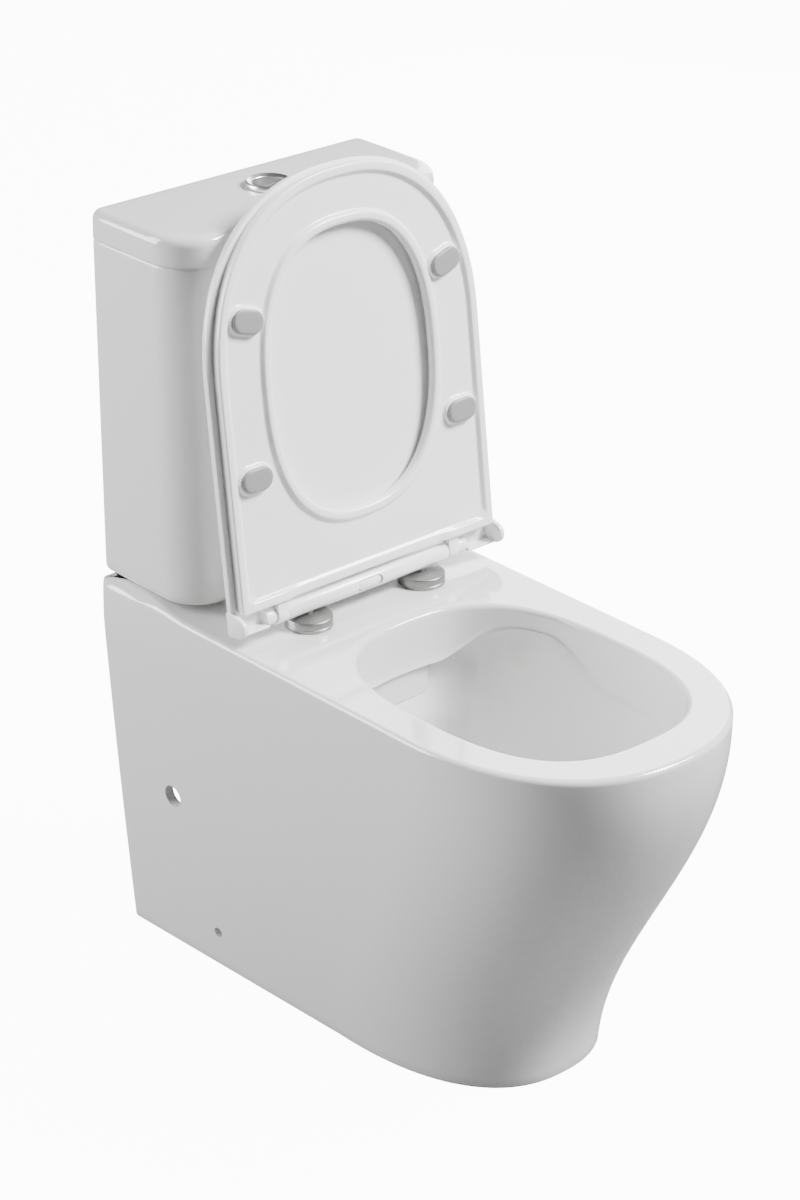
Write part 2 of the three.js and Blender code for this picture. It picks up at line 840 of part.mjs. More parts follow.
function makeFillValve() {
  const x = -fill.side;
  const sealTop = tankFloorZ + gap + 3;
  const flangeTopZ = sealTop + gap + 5;
  const columnTop = tankTopZ - fill.columnBelowRim;
  const tail = rodZ(fill.tailRadius, x, flushY, tankZ - fill.tailLength, flangeTopZ);
  const flange = rodZ(18, x, flushY, sealTop + gap, flangeTopZ);
  const column = rodZ(fill.columnRadius, x, flushY, flangeTopZ - 1, columnTop + 1);
  const head = rodZ(19, x, flushY, columnTop, columnTop + 30);
  const cap = rodZ(15, x, flushY, columnTop + 29, columnTop + 36);
  const bore = rodZ(7, x, flushY, tankZ - fill.tailLength - 5, columnTop - 10, facets.small);
  place('fill_valve_body', cut(add(tail, flange, column, head, cap), bore), 'valveWhite');
  place('fill_valve_seal', ringZ(
    17,
    fill.tailRadius + runClearance,
    x,
    flushY,
    tankFloorZ + gap,
    sealTop,
    facets.middle,
  ), 'rubber');
  const nut = cut(
    rodZ(fill.nutRadius, x, flushY, tankZ - gap - 14, tankZ - gap, 6),
    rodZ(fill.tailRadius + runClearance, x, flushY, tankZ - 30, tankZ + 5),
  );
  place('fill_valve_nut', nut, 'valveWhite');
  const floatZ = columnTop - gap - fill.floatTravel - fill.floatHeight - 5;
  place('fill_float', ringZ(
    fill.floatRadius,
    fill.columnRadius + 1,
    x,
    flushY,
    floatZ,
    floatZ + fill.floatHeight,
  ), 'valveBlue');
}

// ---------------------------------------------------------------- tank lid and buttons

function makeTankLid() {
  const at = (inset, z) => cornerRing({
    half: tankLid.halfWidth - inset,
    frontY: wallY - tankLid.depth + inset,
    backY: wallY - inset,
    frontCorner: tank.cornerRadius + tankLid.depth - tank.depth - inset,
    backCorner: Math.max(tank.backCorner - inset, 2),
  }, z);
  const topEdge = edgeSteps(tankLid.edge).map(([inset, below]) => at(inset, lidTopZ - below));
  const slab = loft([at(1.5, lidZ), at(0, lidZ + 1.5), ...topEdge]);
  const hollow = loft([at(tankLid.rim, lidZ - 5), at(tankLid.rim, lidTopZ - tankLid.plate)]);
  const ribAt = (inset, z) => cornerRing(
    tankOutline(tankTopZ - tankLid.ribDepth, tank.wall + tankLid.ribClearance + inset),
    z,
  );
  const ribLow = lidZ - tankLid.ribDepth;
  const rib = cut(
    loft([ribAt(0, ribLow), ribAt(0, lidZ + 4)]),
    loft([ribAt(tankLid.ribThick, ribLow - 1), ribAt(tankLid.ribThick, lidZ + 5)]),
  );
  return cut(
    add(cut(slab, hollow), rib),
    rodZ(button.lidHole, 0, flushY, lidZ - 20, lidTopZ + 5, facets.large),
  );
}

function makeBezel() {
  const z = lidTopZ;
  const bore = button.boreRadius;
  const profile = [
    [bore, z - button.stemLength],
    [button.stemRadius, z - button.stemLength],
    [button.stemRadius, z + gap],
    [button.bezelRadius - 0.8, z + gap],
    [button.bezelRadius, z + 1.5],
    [button.bezelRadius - 1, z + button.rise * 0.7],
    [button.bezelRadius - 2.8, z + button.rise],
    [button.bezelRadius - 4.8, z + button.rise * 0.85],
    [bore, z + button.rise * 0.6],
    [bore, z - button.stemLength],
  ];
  const webTop = z - button.webDepth;
  const web = cut(
    rodZ(bore + 1, 0, flushY, webTop - 4, webTop, facets.large),
    rodZ(button.rodRadius + 0.5, 0, flushY + button.rodSpread, webTop - 9, webTop + 5, facets.small),
    rodZ(button.rodRadius + 0.5, 0, flushY - button.rodSpread, webTop - 9, webTop + 5, facets.small),
  );
  return add(turned(profile, 0, flushY), web);
}

/** Coil of a return spring around a push rod. */
function makeSpring(side, lowZ, highZ) {
  const turns = 4;
  const count = 32;
  const wire = button.springWire;
  const centreY = flushY + side * button.rodSpread;
  const points = Array.from({ length: count + 1 }, (_, i) => {
    const t = i / count;
    const angle = 2 * Math.PI * turns * t;
    return new THREE.Vector3(
      button.springRadius * Math.cos(angle),
      centreY + button.springRadius * Math.sin(angle),
      THREE.MathUtils.lerp(lowZ + wire, highZ - wire, t),
    );
  });
  const section = new THREE.Shape(Array.from({ length: 5 }, (_, i) => {
    const angle = (2 * Math.PI * i) / 5;
    return new THREE.Vector2(wire * Math.cos(angle), wire * Math.sin(angle));
  }));
  const extrudePath = new THREE.CatmullRomCurve3(points);
  return solid(new THREE.ExtrudeGeometry(section, { steps: count, bevelEnabled: false, extrudePath }));
}

function makeButtons() {
  place('button_bezel', makeBezel(), 'chrome');
  const plateUnder = lidTopZ - tankLid.plate;
  const nut = cut(
    rodZ(27, 0, flushY, plateUnder - gap - 8, plateUnder - gap, 6),
    rodZ(button.stemRadius + runClearance, 0, flushY, plateUnder - 20, plateUnder + 5, facets.large),
  );
  place('bezel_nut', nut, 'valveWhite');
  const faceLow = lidTopZ - 2;
  const faceHigh = faceLow + button.faceThick;
  const disc = rodZ(button.faceRadius, 0, flushY, faceLow, faceHigh, facets.large);
  const lensY = flushY - button.lensFront - button.lensRadius;
  const lens = rodZ(button.lensRadius, 0, lensY, faceLow - 5, faceHigh + 5, 2 * facets.large);
  const notch = rodZ(button.lensRadius + 2 * gap, 0, lensY, faceLow - 5, faceHigh + 5, 2 * facets.large);
  place('half_flush_button', disc.intersect(lens), 'chrome');
  place('full_flush_button', cut(disc, notch), 'chrome');
  [['full', 1], ['half', -1]].forEach(([name, side]) => {
    const rod = rodZ(
      button.rodRadius,
      0,
      flushY + side * button.rodSpread,
      keyTop + 2 * gap,
      faceLow - gap,
      8,
    );
    place(`${name}_flush_rod`, rod, 'valveWhite');
    const spring = makeSpring(side, lidTopZ - button.webDepth + gap, faceLow - gap);
    place(`${name}_flush_spring`, spring, 'steel');
  });
}

// ---------------------------------------------------------------- seat hinge

const capTopZ = axleZ - hinge.barrelRadius - 0.5;
const postTopZ = axleZ + 5.7;
const collarStart = hinge.barrelHalf + hinge.knuckleWidth + 1.2;
const collarEnd = collarStart + hinge.collarWidth;
const earInner = seat.lidHalfWidth - hinge.earThick;

function makeHingeMounts() {
  const hole = hinge.postRadius + runClearance;
  const underZ = deckZ - pan.deckThick;
  bothSides((hand, side) => {
    const x = side * hinge.spread;
    place(`hinge_base_${hand}`, ringZ(20, hole, x, capY, deckZ + gap, deckZ + 7), 'seatPlastic');
    const capProfile = [
      [hinge.capRadius - hinge.capSkin, deckZ + gap],
      [hinge.capRadius, deckZ + gap],
      [hinge.capRadius, deckZ + hinge.capHeight - 1.4],
      [hinge.capRadius - 1, deckZ + hinge.capHeight - 0.4],
      [hole, capTopZ],
      [hole, capTopZ - hinge.capSkin],
      [hinge.capRadius - hinge.capSkin, deckZ + hinge.capHeight - 2.2],
      [hinge.capRadius - hinge.capSkin, deckZ + gap],
    ];
    place(`hinge_cap_${hand}`, turned(capProfile, x, capY), 'brushed');
    const post = add(
      rodZ(hinge.postRadius, x, capY, underZ - 22, postTopZ, facets.small),
      rodZ(9, x, capY, deckZ + 7 + gap, deckZ + 9.6),
    );
    place(`hinge_post_${hand}`, post, 'steel');
    const plugProfile = [
      [hole, underZ - 6],
      [10, underZ - 6],
      [10, underZ - gap],
      [hinge.deckHole - gap, underZ - gap],
      [hinge.deckHole - gap, deckZ],
      [hole, deckZ],
      [hole, underZ - 6],
    ];
    place(`hinge_plug_${hand}`, turned(plugProfile, x, capY, facets.small), 'rubber');
    const nutTop = underZ - 6 - gap;
    const nut = cut(
      rodZ(hinge.nutRadius, x, capY, nutTop - 7, nutTop, 6),
      rodZ(hole, x, capY, nutTop - 12, nutTop + 5, facets.small),
    );
    place(`hinge_nut_${hand}`, nut, 'steel');
  });
}

function releasePocket(halfLength, halfHeight, frontY, backY) {
  const flat = halfLength - halfHeight;
  return add(
    box(-flat, flat, frontY, backY, axleZ - halfHeight, axleZ + halfHeight),
    rodY(halfHeight, -flat, frontY, backY, axleZ),
    rodY(halfHeight, flat, frontY, backY, axleZ),
  );
}

function makeBarrel() {
  const half = hinge.barrelHalf;
  const postHoles = [-1, 1].map((side) => rodZ(
    hinge.postRadius + runClearance,
    side * hinge.spread,
    capY,
    axleZ - 20,
    postTopZ + gap,
    facets.small,
  ));
  const damperHoles = [-1, 1].map((side) => {
    const ends = [side * (half - hinge.damperLength - gap), side * (half + 5)];
    const bore = hinge.damperRadius + runClearance;
    return rodX(bore, Math.min(...ends), Math.max(...ends), axleY, axleZ, facets.small);
  });
  return cut(
    rodX(hinge.barrelRadius, -half, half, axleY, axleZ, facets.large),
    ...postHoles,
    ...damperHoles,
    releasePocket(release.halfLength, release.halfHeight, axleY - 15, axleY - 4),
  );
}

function makeSeatHinge() {
  place('hinge_barrel', makeBarrel(), 'seatPlastic');
  place('release_button', releasePocket(
    release.halfLength - runClearance,
    release.halfHeight - runClearance,
    axleY - 10.2,
    axleY - 7.4,
  ), 'seatPlastic');
  bothSides((hand, side) => {
    const span = (from, to, radius, sides) => {
      const ends = [side * from, side * to];
      return rodX(radius, Math.min(...ends), Math.max(...ends), axleY, axleZ, sides);
    };
    const inner = hinge.barrelHalf - hinge.damperLength;
    place(`damper_${hand}`, add(
      span(inner, collarStart - gap, hinge.damperRadius, facets.small),
      span(inner, collarEnd - hinge.collarEnd - gap, hinge.pinRadius, facets.small),
    ), 'seatPlastic');
  });
}

// ---------------------------------------------------------------- seat lid and ring
// Both are drawn closed, with the axle as their origin, and stand in a group turned open.

const openSeat = new THREE.Group();
openSeat.position.set(0, axleY, axleZ);
openSeat.rotation.x = THREE.MathUtils.degToRad(-seat.openAngle);
model.add(openSeat);

function seatRingOutline(half, length, inset, z) {
  return noseRing({
    backY: -seat.rearEdge - inset,
    backHalf: half - inset,
    corner: 4,
    sideHalf: half - inset,
    noseY: seat.noseLength - length,
    tipY: inset - length,
    power: seat.nosePower,
  }, z, 1, 9);
}

function mirroredX(make) {
  return add(make(1), make(-1));
}

function spanX(side, from, to) {
  return [Math.min(side * from, side * to), Math.max(side * from, side * to)];
}

function makeSeatLid() {
  const { lidHalfWidth: half, lidLength: length, lidTop: top } = seat;
  const under = top - seat.lidThick;
  const at = (inset, z) => seatRingOutline(half, length, inset, z);
  const plate = loft([at(0.8, under), at(0, under + 0.8), at(0, top - 2.6), at(1.2, top - 0.8), at(4, top)]);
  const hollow = loft([at(5, under - 2), at(5, top - seat.lidSkin)]);
  const hooks = mirroredX((side) => {
    const [ear0, ear1] = spanX(side, earInner, half);
    const [cover0, cover1] = spanX(side, collarEnd - gap, earInner + gap);
    const [collar0, collar1] = spanX(side, collarStart, collarEnd);
    const { earRadius, earForward, earDrop, coverSkin } = hinge;
    const behind = earRadius - earForward;
    const ear = add(
      rodX(earRadius, ear0, ear1, -earForward, -earDrop, facets.large),
      box(ear0, ear1, -seat.rearEdge + gap, behind, -earDrop, top),
      box(ear0, ear1, -seat.rearEdge - 3, 0, under, top),
    );
    const cover = add(
      box(cover0, cover1, -seat.rearEdge - 3, behind, top - coverSkin, top),
      box(cover0, cover1, behind - coverSkin, behind, -hinge.coverDepth, top),
    );
    const collar = add(
      rodX(hinge.collarRadius, collar0, collar1, 0, 0, facets.middle),
      box(collar0, collar1, -seat.rearEdge - 3, 0, under, top),
    );
    return add(ear, cover, collar);
  });
  const pinHoles = mirroredX((side) => {
    const [x0, x1] = spanX(side, collarStart - 3, collarEnd - hinge.collarEnd);
    return rodX(hinge.pinRadius + runClearance, x0, x1, 0, 0, facets.small);
  });
  return cut(add(cut(plate, hollow), hooks), pinHoles);
}

function bumperSpots() {
  return [-1, 1].flatMap((side) => {
    const hand = side < 0 ? 'left' : 'right';
    const { sideFront, forwardFront, sideBack, forwardBack, turnFront } = bumper;
    return [
      { name: `front_${hand}`, x: side * sideFront, y: -forwardFront, turn: -side * turnFront },
      { name: `back_${hand}`, x: side * sideBack, y: -forwardBack, turn: 0 },
    ];
  });
}

/** Slab between the knuckles with a sloping top, from [forward, height] corners. */
function betweenKnuckles(halfWidth, corners) {
  const profile = new THREE.Shape(corners.map(([forward, z]) => new THREE.Vector2(-forward, z)));
  const slab = new THREE.ExtrudeGeometry(profile, { depth: 2 * halfWidth, bevelEnabled: false });
  slab.rotateX(Math.PI / 2).rotateZ(Math.PI / 2);
  return solid(slab.translate(-halfWidth, 0, 0));
}

/** The ring's underside rises over the hinge caps, and its channel with it. */
function ringRelief() {
  const capFront = hinge.capRadius + axleY - capY + 2 * gap;
  const dip = Math.tan(THREE.MathUtils.degToRad(seat.closedDip));
  const clearZ = capTopZ - axleZ + seat.rearEdge * dip + gap;
  const rimZ = deckZ + hinge.capHeight - axleZ + capFront * dip + gap;
  const slopeEnd = capFront + seat.reliefLength;
  const low = ringUnder - 5;
  const channelZ = seat.ringTop - seat.reliefSkin;
  const channelBack = seat.rearEdge + seat.lip;
  const halfWidth = hinge.barrelHalf - 1;
  return add(
    betweenKnuckles(halfWidth, [
      [seat.rearEdge - 4, low],
      [slopeEnd, low],
      [slopeEnd, ringUnder],
      [capFront, rimZ],
      [seat.rearEdge - 4, clearZ],
    ]),
    betweenKnuckles(halfWidth - seat.lip, [
      [channelBack, low],
      [slopeEnd, low],
      [slopeEnd, ringUnder + seat.lipDepth],
      [channelBack, channelZ],
    ]),
  );
}

function makeSeatRing() {
  const { ringHalfWidth: half, ringLength: length, ringTop: top } = seat;
  const at = (inset, z) => seatRingOutline(half, length, inset, z);
  const opening = (grow, z) => superRing(
    seat.openingHalfWidth + grow,
    seat.openingHalfLength + grow,
    0,
    -seat.openingCentre,
    z,
    seat.openingPower,
    facets.large + 4,
  );
  const under = ringUnder;
  const channelTop = under + seat.lipDepth;
  const slab = loft([
    at(seat.ringEdge, under),
    at(0, under + seat.ringEdge),
    at(0, top - seat.ringEdge),
    at(seat.ringEdge, top),
  ]);
  const hole = loft([opening(3, under - 2), opening(0, under + 3), opening(0, top - 3), opening(3, top + 1)]);
  const channel = cut(
    loft([at(seat.lip, under - 2), at(seat.lip, channelTop)]),
    loft([opening(seat.lip, under - 3), opening(seat.lip, channelTop + 1)]),
  );
  const bosses = bumperSpots().map(({ x, y, turn }) => capsule(
    bumper.halfLength + bumper.bossGrow,
    bumper.halfWidth + bumper.bossGrow,
    x,
    y,
    channelTop - bumper.bossHeight,
    channelTop + 1,
    turn,
  ));
  const knuckles = mirroredX((side) => {
    const [x0, x1] = spanX(side, hinge.barrelHalf + 0.5, hinge.barrelHalf + 0.5 + hinge.knuckleWidth);
    return add(
      rodX(hinge.knuckleRadius, x0, x1, 0, 0, facets.middle),
      box(x0, x1, -seat.rearEdge - 8, 0, under + 3, top),
    );
  });
  const pinHoles = mirroredX((side) => {
    const [x0, x1] = spanX(side, hinge.barrelHalf - 5, hinge.barrelHalf + 20);
    return rodX(hinge.damperRadius + runClearance, x0, x1, 0, 0, facets.small);
  });
  return cut(add(cut(slab, hole, channel, ringRelief()), ...bosses, knuckles), pinHoles);
}

function makeSeat() {
  place('seat_lid', makeSeatLid(), 'seatPlastic', openSeat);
  const lidUnder = seat.lidTop - seat.lidSkin;
  bothSides((hand, side) => {
    const x = side * (seat.ringHalfWidth - 18);
    [['front', -seat.openingCentre - 50], ['back', -90]].forEach(([end, y]) => {
      const pad = rodZ(6, x, y, seat.ringTop + gap, lidUnder - gap, facets.small);
      place(`lid_buffer_${end}_${hand}`, pad, 'bumperGrey', openSeat);
    });
  });
  place('seat_ring', makeSeatRing(), 'seatPlastic', openSeat);
  const bossUnder = ringUnder + seat.lipDepth - bumper.bossHeight;
  const padTop = bossUnder - gap;
  bumperSpots().forEach(({ name, x, y, turn }) => {
    const { halfLength, halfWidth, thick } = bumper;
    const pad = capsule(halfLength, halfWidth, x, y, padTop - thick, padTop, turn);
    place(`ring_bumper_${name}`, pad, 'bumperGrey', openSeat);
  });
}

// ---------------------------------------------------------------- the whole object

place('pan', makePan(), 'china');
place('tank', makeTank(), 'china');
makeTankFixings();
makeFlushValve();
makeFillValve();
place('tank_lid', makeTankLid(), 'china');
makeButtons();
makeHingeMounts();
makeSeatHinge();
makeSeat();

export default model;
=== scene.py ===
"""Visible surfaces, materials, light and camera for the close coupled toilet.

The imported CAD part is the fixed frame. Lengths are metres in the properties and
millimetres inside the shape functions. +Z is up, +Y is towards the wall.
"""

import json
import math
import types

import bpy
import numpy as np
from bpy.props import FloatProperty, FloatVectorProperty, PointerProperty
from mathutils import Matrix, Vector

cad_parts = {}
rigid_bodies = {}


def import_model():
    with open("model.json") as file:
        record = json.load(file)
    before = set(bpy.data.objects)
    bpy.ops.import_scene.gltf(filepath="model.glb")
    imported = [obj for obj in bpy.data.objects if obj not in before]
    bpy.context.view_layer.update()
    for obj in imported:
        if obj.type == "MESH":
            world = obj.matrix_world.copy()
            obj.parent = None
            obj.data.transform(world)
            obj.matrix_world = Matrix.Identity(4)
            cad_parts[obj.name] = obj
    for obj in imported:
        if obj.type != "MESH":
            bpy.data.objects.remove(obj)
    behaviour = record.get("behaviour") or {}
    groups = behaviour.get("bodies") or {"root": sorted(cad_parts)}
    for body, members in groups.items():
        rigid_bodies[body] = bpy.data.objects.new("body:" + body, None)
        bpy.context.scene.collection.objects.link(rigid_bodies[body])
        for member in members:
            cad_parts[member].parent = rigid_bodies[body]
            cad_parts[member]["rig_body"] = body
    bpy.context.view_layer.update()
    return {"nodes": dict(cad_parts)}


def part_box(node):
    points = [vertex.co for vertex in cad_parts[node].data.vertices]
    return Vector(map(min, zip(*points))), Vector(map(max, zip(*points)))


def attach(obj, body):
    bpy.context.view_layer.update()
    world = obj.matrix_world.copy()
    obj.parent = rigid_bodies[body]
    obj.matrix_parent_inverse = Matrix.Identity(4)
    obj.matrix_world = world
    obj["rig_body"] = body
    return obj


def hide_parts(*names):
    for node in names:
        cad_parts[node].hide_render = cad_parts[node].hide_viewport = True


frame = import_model()

bl_info = {
    "name": "Close coupled toilet",
    "version": (1, 0, 0),
    "blender": (4, 5, 0),
    "location": "View3D > Sidebar > Toilet",
    "description": "Builds the visible toilet around its packed CAD frame",
    "category": "Object",
}

GAP = 0.3
SHARP_ANGLE = math.radians(38)
BOX_COUNTS = (24, 22, 12, 8, 24)
SEAT_COUNTS = (16, 8, 40, 80)
LIGHT_AIM = (0.0, 0.0, 0.45)
LIGHTS = {
    "key": ((1.3, 1.3), (1.9, -1.7, 3.1)),
    "left": ((1.4, 2.4), (-2.5, 2.0, 1.5)),
    "right": ((1.4, 2.4), (2.6, 1.7, 1.2)),
}
# Half size and backward shift of the floor patch under the pan that gets no glow: painted shade,
# seen through the pan's side holes.
FOOT_HALF = (0.118, 0.205)
FOOT_BACK = 0.115


# ------------------------------------------------------------------ properties


def length(name, description, millimetres):
    """A length property whose default is given in millimetres."""
    return FloatProperty(
        name=name, description=description, default=millimetres * 0.001, unit="LENGTH"
    )


def angle(name, description, degrees):
    """An angle property whose default is given in degrees."""
    return FloatProperty(
        name=name, description=description, default=math.radians(degrees), subtype="ANGLE"
    )


def factor(name, description, value):
    """A plain number property."""
    return FloatProperty(name=name, description=description, default=value)


def colour(name, description, value):
    """A colour property."""
    return FloatVectorProperty(
        name=name, description=description, default=value, size=3, subtype="COLOR",
        min=0.0, max=1.0,
    )


class PanSizes(bpy.types.PropertyGroup):
    """Sizes of the pan."""

    wall_y: length("Wall", "Wall behind the pan, from the origin", 332.5)
    deck: length("Deck height", "Rim and deck above the floor", 418)
    rise: length("Platform rise", "Deck under the tank, above the rim", 6)
    rise_front: length("Rise start", "Where the deck starts to rise to the tank", 196)
    rise_back: length("Rise end", "Where the rise ends", 262)
    depth: length("Depth", "Wall to the tip of the rim", 665)
    back_foot: length("Back foot half width", "At the wall, on the floor", 139.5)
    back_top: length("Back top half width", "At the wall, at the widest", 174.5)
    widest: length("Widest height", "Height where the back is widest", 375)
    nose_foot: length("Nose foot half width", "Where the nose starts, on the floor", 128)
    nose_top: length("Nose top half width", "Where the nose starts, at the rim", 172.5)
    nose: length("Nose length", "Straight side to tip", 203)
    foot_reach: length("Foot reach", "Wall to the toe on the floor", 527.7)
    wall: length("Wall thickness", "Thickness of the skirt", 11)
    ceiling: length("Deck thickness", "Thickness of the deck", 16)
    edge: length("Edge radius", "Rounded edge of the rim", 6)
    back_edge: length("Back edge radius", "Rounded edge of the deck beside the tank", 15)
    corner: length("Back corner radius", "Upright corner at the wall", 6)
    rear_half: length("Rear opening half width", "Half width of the open back", 108)
    rear_top: length("Rear opening height", "Height of the open back", 300)
    inlet: length("Inlet radius", "Opening in the deck under the tank", 57)
    hinge_hole: length("Hinge hole", "Radius of a seat post's hole", 7.5)
    fill_hole: length("Fill hole", "Radius of the water supply's hole", 21)
    upper_y: length("Upper side hole depth", "Upper screw hole, from the origin", 238.5)
    upper_z: length("Upper side hole height", "Upper screw hole above the floor", 195)
    upper_hole: length("Upper side hole", "Radius of the upper screw hole", 12.5)
    lower_y: length("Lower side hole depth", "Lower screw hole, from the origin", 186.5)
    lower_z: length("Lower side hole height", "Lower screw hole above the floor", 45)
    lower_hole: length("Lower side hole", "Radius of the lower screw hole", 6)


class BowlSizes(bpy.types.PropertyGroup):
    """Sizes of the bowl, the trapway and the water duct."""

    half_width: length("Half width", "Half width of the rim opening", 128)
    half_length: length("Half length", "Half length of the rim opening", 167)
    from_wall: length("From wall", "Wall to the middle of the opening", 445)
    power: factor("Squareness", "Superellipse power of the opening", 2.7)
    band: length("Band", "Height of the steep band under the rim", 58)
    shelf: length("Shelf", "Width of the shelf under the band", 3)
    wall: length("Wall", "Wall of the bowl", 10)
    lip: length("Rim radius", "Rounded inner edge of the rim", 5)
    sump_height: length("Sump height", "Floor to the bottom of the sump", 78)
    sump_half_width: length("Sump half width", "Half width of the sump", 42)
    sump_half_length: length("Sump half length", "Half length of the sump", 48)
    sump_from_wall: length("Sump from wall", "Wall to the middle of the sump", 345)
    trap_bore: length("Trap bore", "Radius of the trapway", 38)
    trap_wall: length("Trap wall", "Wall of the trapway", 9)
    outlet: length("Outlet radius", "Outer radius of the spigot", 51)
    outlet_height: length("Outlet height", "Height of the spigot", 180)
    outlet_end: length("Outlet end", "Wall to the end of the spigot", 48)
    crest: length("Crest", "Height of the trapway's crest", 236)
    recess: length("Recess", "Step outwards under the back of the band", 19)
    recess_floor: length("Recess floor", "Height where that step ends", 292)
    arch: length("Arch", "Rise of the band's lower edge at the back corners", 36)
    duct_wall: length("Duct wall", "Wall of the water duct", 9)
    duct_drop: length("Duct drop", "Radius of the hole down into the duct", 32)
    duct_half: length("Duct half width", "Half width of the water duct", 30)
    duct_floor: length("Duct floor", "Height of the duct's floor", 334)
    duct_top: length("Duct top", "Height of the duct's top", 370)


class TankSizes(bpy.types.PropertyGroup):
    """Sizes of the tank, its lid and the push buttons."""

    foot: length("Foot height", "Underside of the tank", 427)
    top: length("Top height", "Top of the tank", 795)
    half_foot: length("Foot half width", "Half width at the foot", 170.3)
    half_top: length("Top half width", "Half width at the top", 176.9)
    depth: length("Depth", "Depth of the tank", 143)
    corner: length("Front corner radius", "Upright front corners", 46)
    back_corner: length("Back corner radius", "Upright back corners", 8)
    foot_edge: length("Foot edge radius", "Rounded foot of the tank", 12)
    wall: length("Wall", "Wall of the tank", 9)
    floor: length("Floor", "Floor of the tank", 13)
    lid_half: length("Lid half width", "Half width of the tank lid", 179.6)
    lid_depth: length("Lid depth", "Depth of the tank lid", 147)
    lid_height: length("Lid height", "Height of the tank lid", 32)
    lid_plate: length("Lid plate", "Thickness of the lid's top", 14)
    lid_edge: length("Lid edge radius", "Rounded top edge of the lid", 11)
    lid_back_corner: length("Lid back corner", "Upright back corners of the lid", 13)
    axis_from_wall: length("Valve axis", "Wall to the flush valve's axis", 66.5)
    bolt_side: length("Bolt place", "Tank bolts off the centre line", 82)
    bolt_hole: length("Bolt hole", "Radius of a tank bolt's hole", 5.2)
    valve_hole: length("Valve hole", "Radius of the flush valve's hole", 30.5)
    fill_side: length("Fill valve place", "Fill valve off the centre line", -125)
    fill_hole: length("Fill hole", "Radius of the fill valve's hole", 11)
    lid_hole: length("Lid hole", "Radius of the hole for the buttons", 20)
    bezel: length("Bezel radius", "Outer radius of the bezel", 24.5)
    stem: length("Bezel stem", "Radius of the bezel's stem", 19.4)
    bore: length("Bezel bore", "Radius of the bezel's bore", 17.6)
    face: length("Button radius", "Radius of the push buttons", 17.1)
    rise: length("Bezel rise", "Bezel above the lid", 6)
    lens: length("Lens radius", "Curve that parts the two buttons", 22)
    lens_front: length("Lens front", "That curve in front of the axis", 6)


class SeatSizes(bpy.types.PropertyGroup):
    """Sizes of the seat ring, the seat lid and the bumpers, drawn closed from the axle."""

    axle_y: length("Axle depth", "Hinge axle, from the origin", 116.8)
    axle_z: length("Axle height", "Hinge axle above the floor", 442.4)
    open_angle: angle("Open angle", "From level to resting open", 98)
    lid_half: length("Lid half width", "Half width of the seat lid", 178.5)
    lid_length: length("Lid length", "Axle to the tip of the lid", 437)
    lid_top: length("Lid top", "Top of the closed lid above the axle", 4.5)
    lid_under: length("Lid underside", "Edge of the closed lid below the axle", -4.0)
    lid_skin: length("Lid skin", "Thickness of the lid's plate", 5.5)
    ring_half: length("Ring half width", "Half width of the seat ring", 171.5)
    ring_length: length("Ring length", "Axle to the tip of the ring", 434)
    ring_top: length("Ring top", "Top of the closed ring below the axle", -4.3)
    ring_under: length("Ring underside", "Lips of the closed ring below the axle", -14.7)
    channel: length("Channel", "Depth between the lips", 4)
    lip: length("Lip", "Width of the lips", 10)
    nose: length("Nose length", "Straight side to tip", 190)
    power: factor("Nose power", "Superellipse power of the nose", 2.3)
    rear: length("Rear edge", "Axle to the back edge of lid and ring", 15)
    open_centre: length("Opening centre", "Axle to the middle of the hole", 229.5)
    open_half_length: length("Opening half length", "Half length of the hole", 145.5)
    open_half_width: length("Opening half width", "Half width of the hole", 106)
    open_power: factor("Opening power", "Superellipse power of the hole", 2.45)
    pad_half_length: length("Bumper half length", "Half length of a bumper", 19)
    pad_half_width: length("Bumper half width", "Half width of a bumper", 12)
    pad_thick: length("Bumper thickness", "Thickness of a bumper", 3.7)
    boss_height: length("Boss height", "Boss above the channel", 3.5)
    side_front: length("Front bumper side", "Front bumpers off the centre line", 131)
    ahead_front: length("Front bumper place", "Front bumpers ahead of the axle", 308)
    side_back: length("Back bumper side", "Back bumpers off the centre line", 138)
    ahead_back: length("Back bumper place", "Back bumpers ahead of the axle", 149)
    turn: angle("Front bumper turn", "Turn of the front bumpers", 17)


class HingeSizes(bpy.types.PropertyGroup):
    """Sizes of the hinge."""

    spread: length("Cap spread", "Caps off the centre line", 77.5)
    cap_y: length("Cap depth", "Centre of the caps, from the origin", 114.1)
    cap_radius: length("Cap radius", "Radius of a cap", 25)
    cap_height: length("Cap height", "Edge of a cap above the deck", 12)
    cap_top: length("Cap top", "Middle of a cap, above the floor", 431.4)
    post: length("Post", "Radius of the post", 4.2)
    barrel: length("Barrel radius", "Radius of the barrel", 10.5)
    barrel_half: length("Barrel half length", "Half length of the barrel", 110)
    knuckle: length("Knuckle radius", "Radius of the ring's knuckle", 10.8)
    knuckle_width: length("Knuckle width", "Width of the ring's knuckle", 13)
    collar: length("Collar radius", "Radius of the lid's knuckle", 8.8)
    collar_start: length("Collar start", "Inner end of the lid's knuckle", 124.2)
    collar_end: length("Collar end", "Outer end of the lid's knuckle", 137.2)
    pin: length("Pin radius", "Radius of the hinge pin", 4.4)
    damper: length("Damper radius", "Radius of the damper", 5.8)
    ear: length("Ear radius", "Rounded front of the lid's ear", 10.8)
    ear_thick: length("Ear thickness", "Thickness of the lid's ear", 5)
    ear_ahead: length("Ear centre ahead", "That curve's centre ahead of the axle", 3.5)
    ear_drop: length("Ear centre drop", "That curve's centre below the axle", 11.5)
    cover: length("Cover", "Thickness of the curled cover", 2.6)
    cover_depth: length("Cover depth", "Axle to the free edge of the cover", 11)
    button_half: length("Release half length", "Half length of the release button", 16.6)
    button_height: length("Release half height", "Half height of the release button", 5.6)


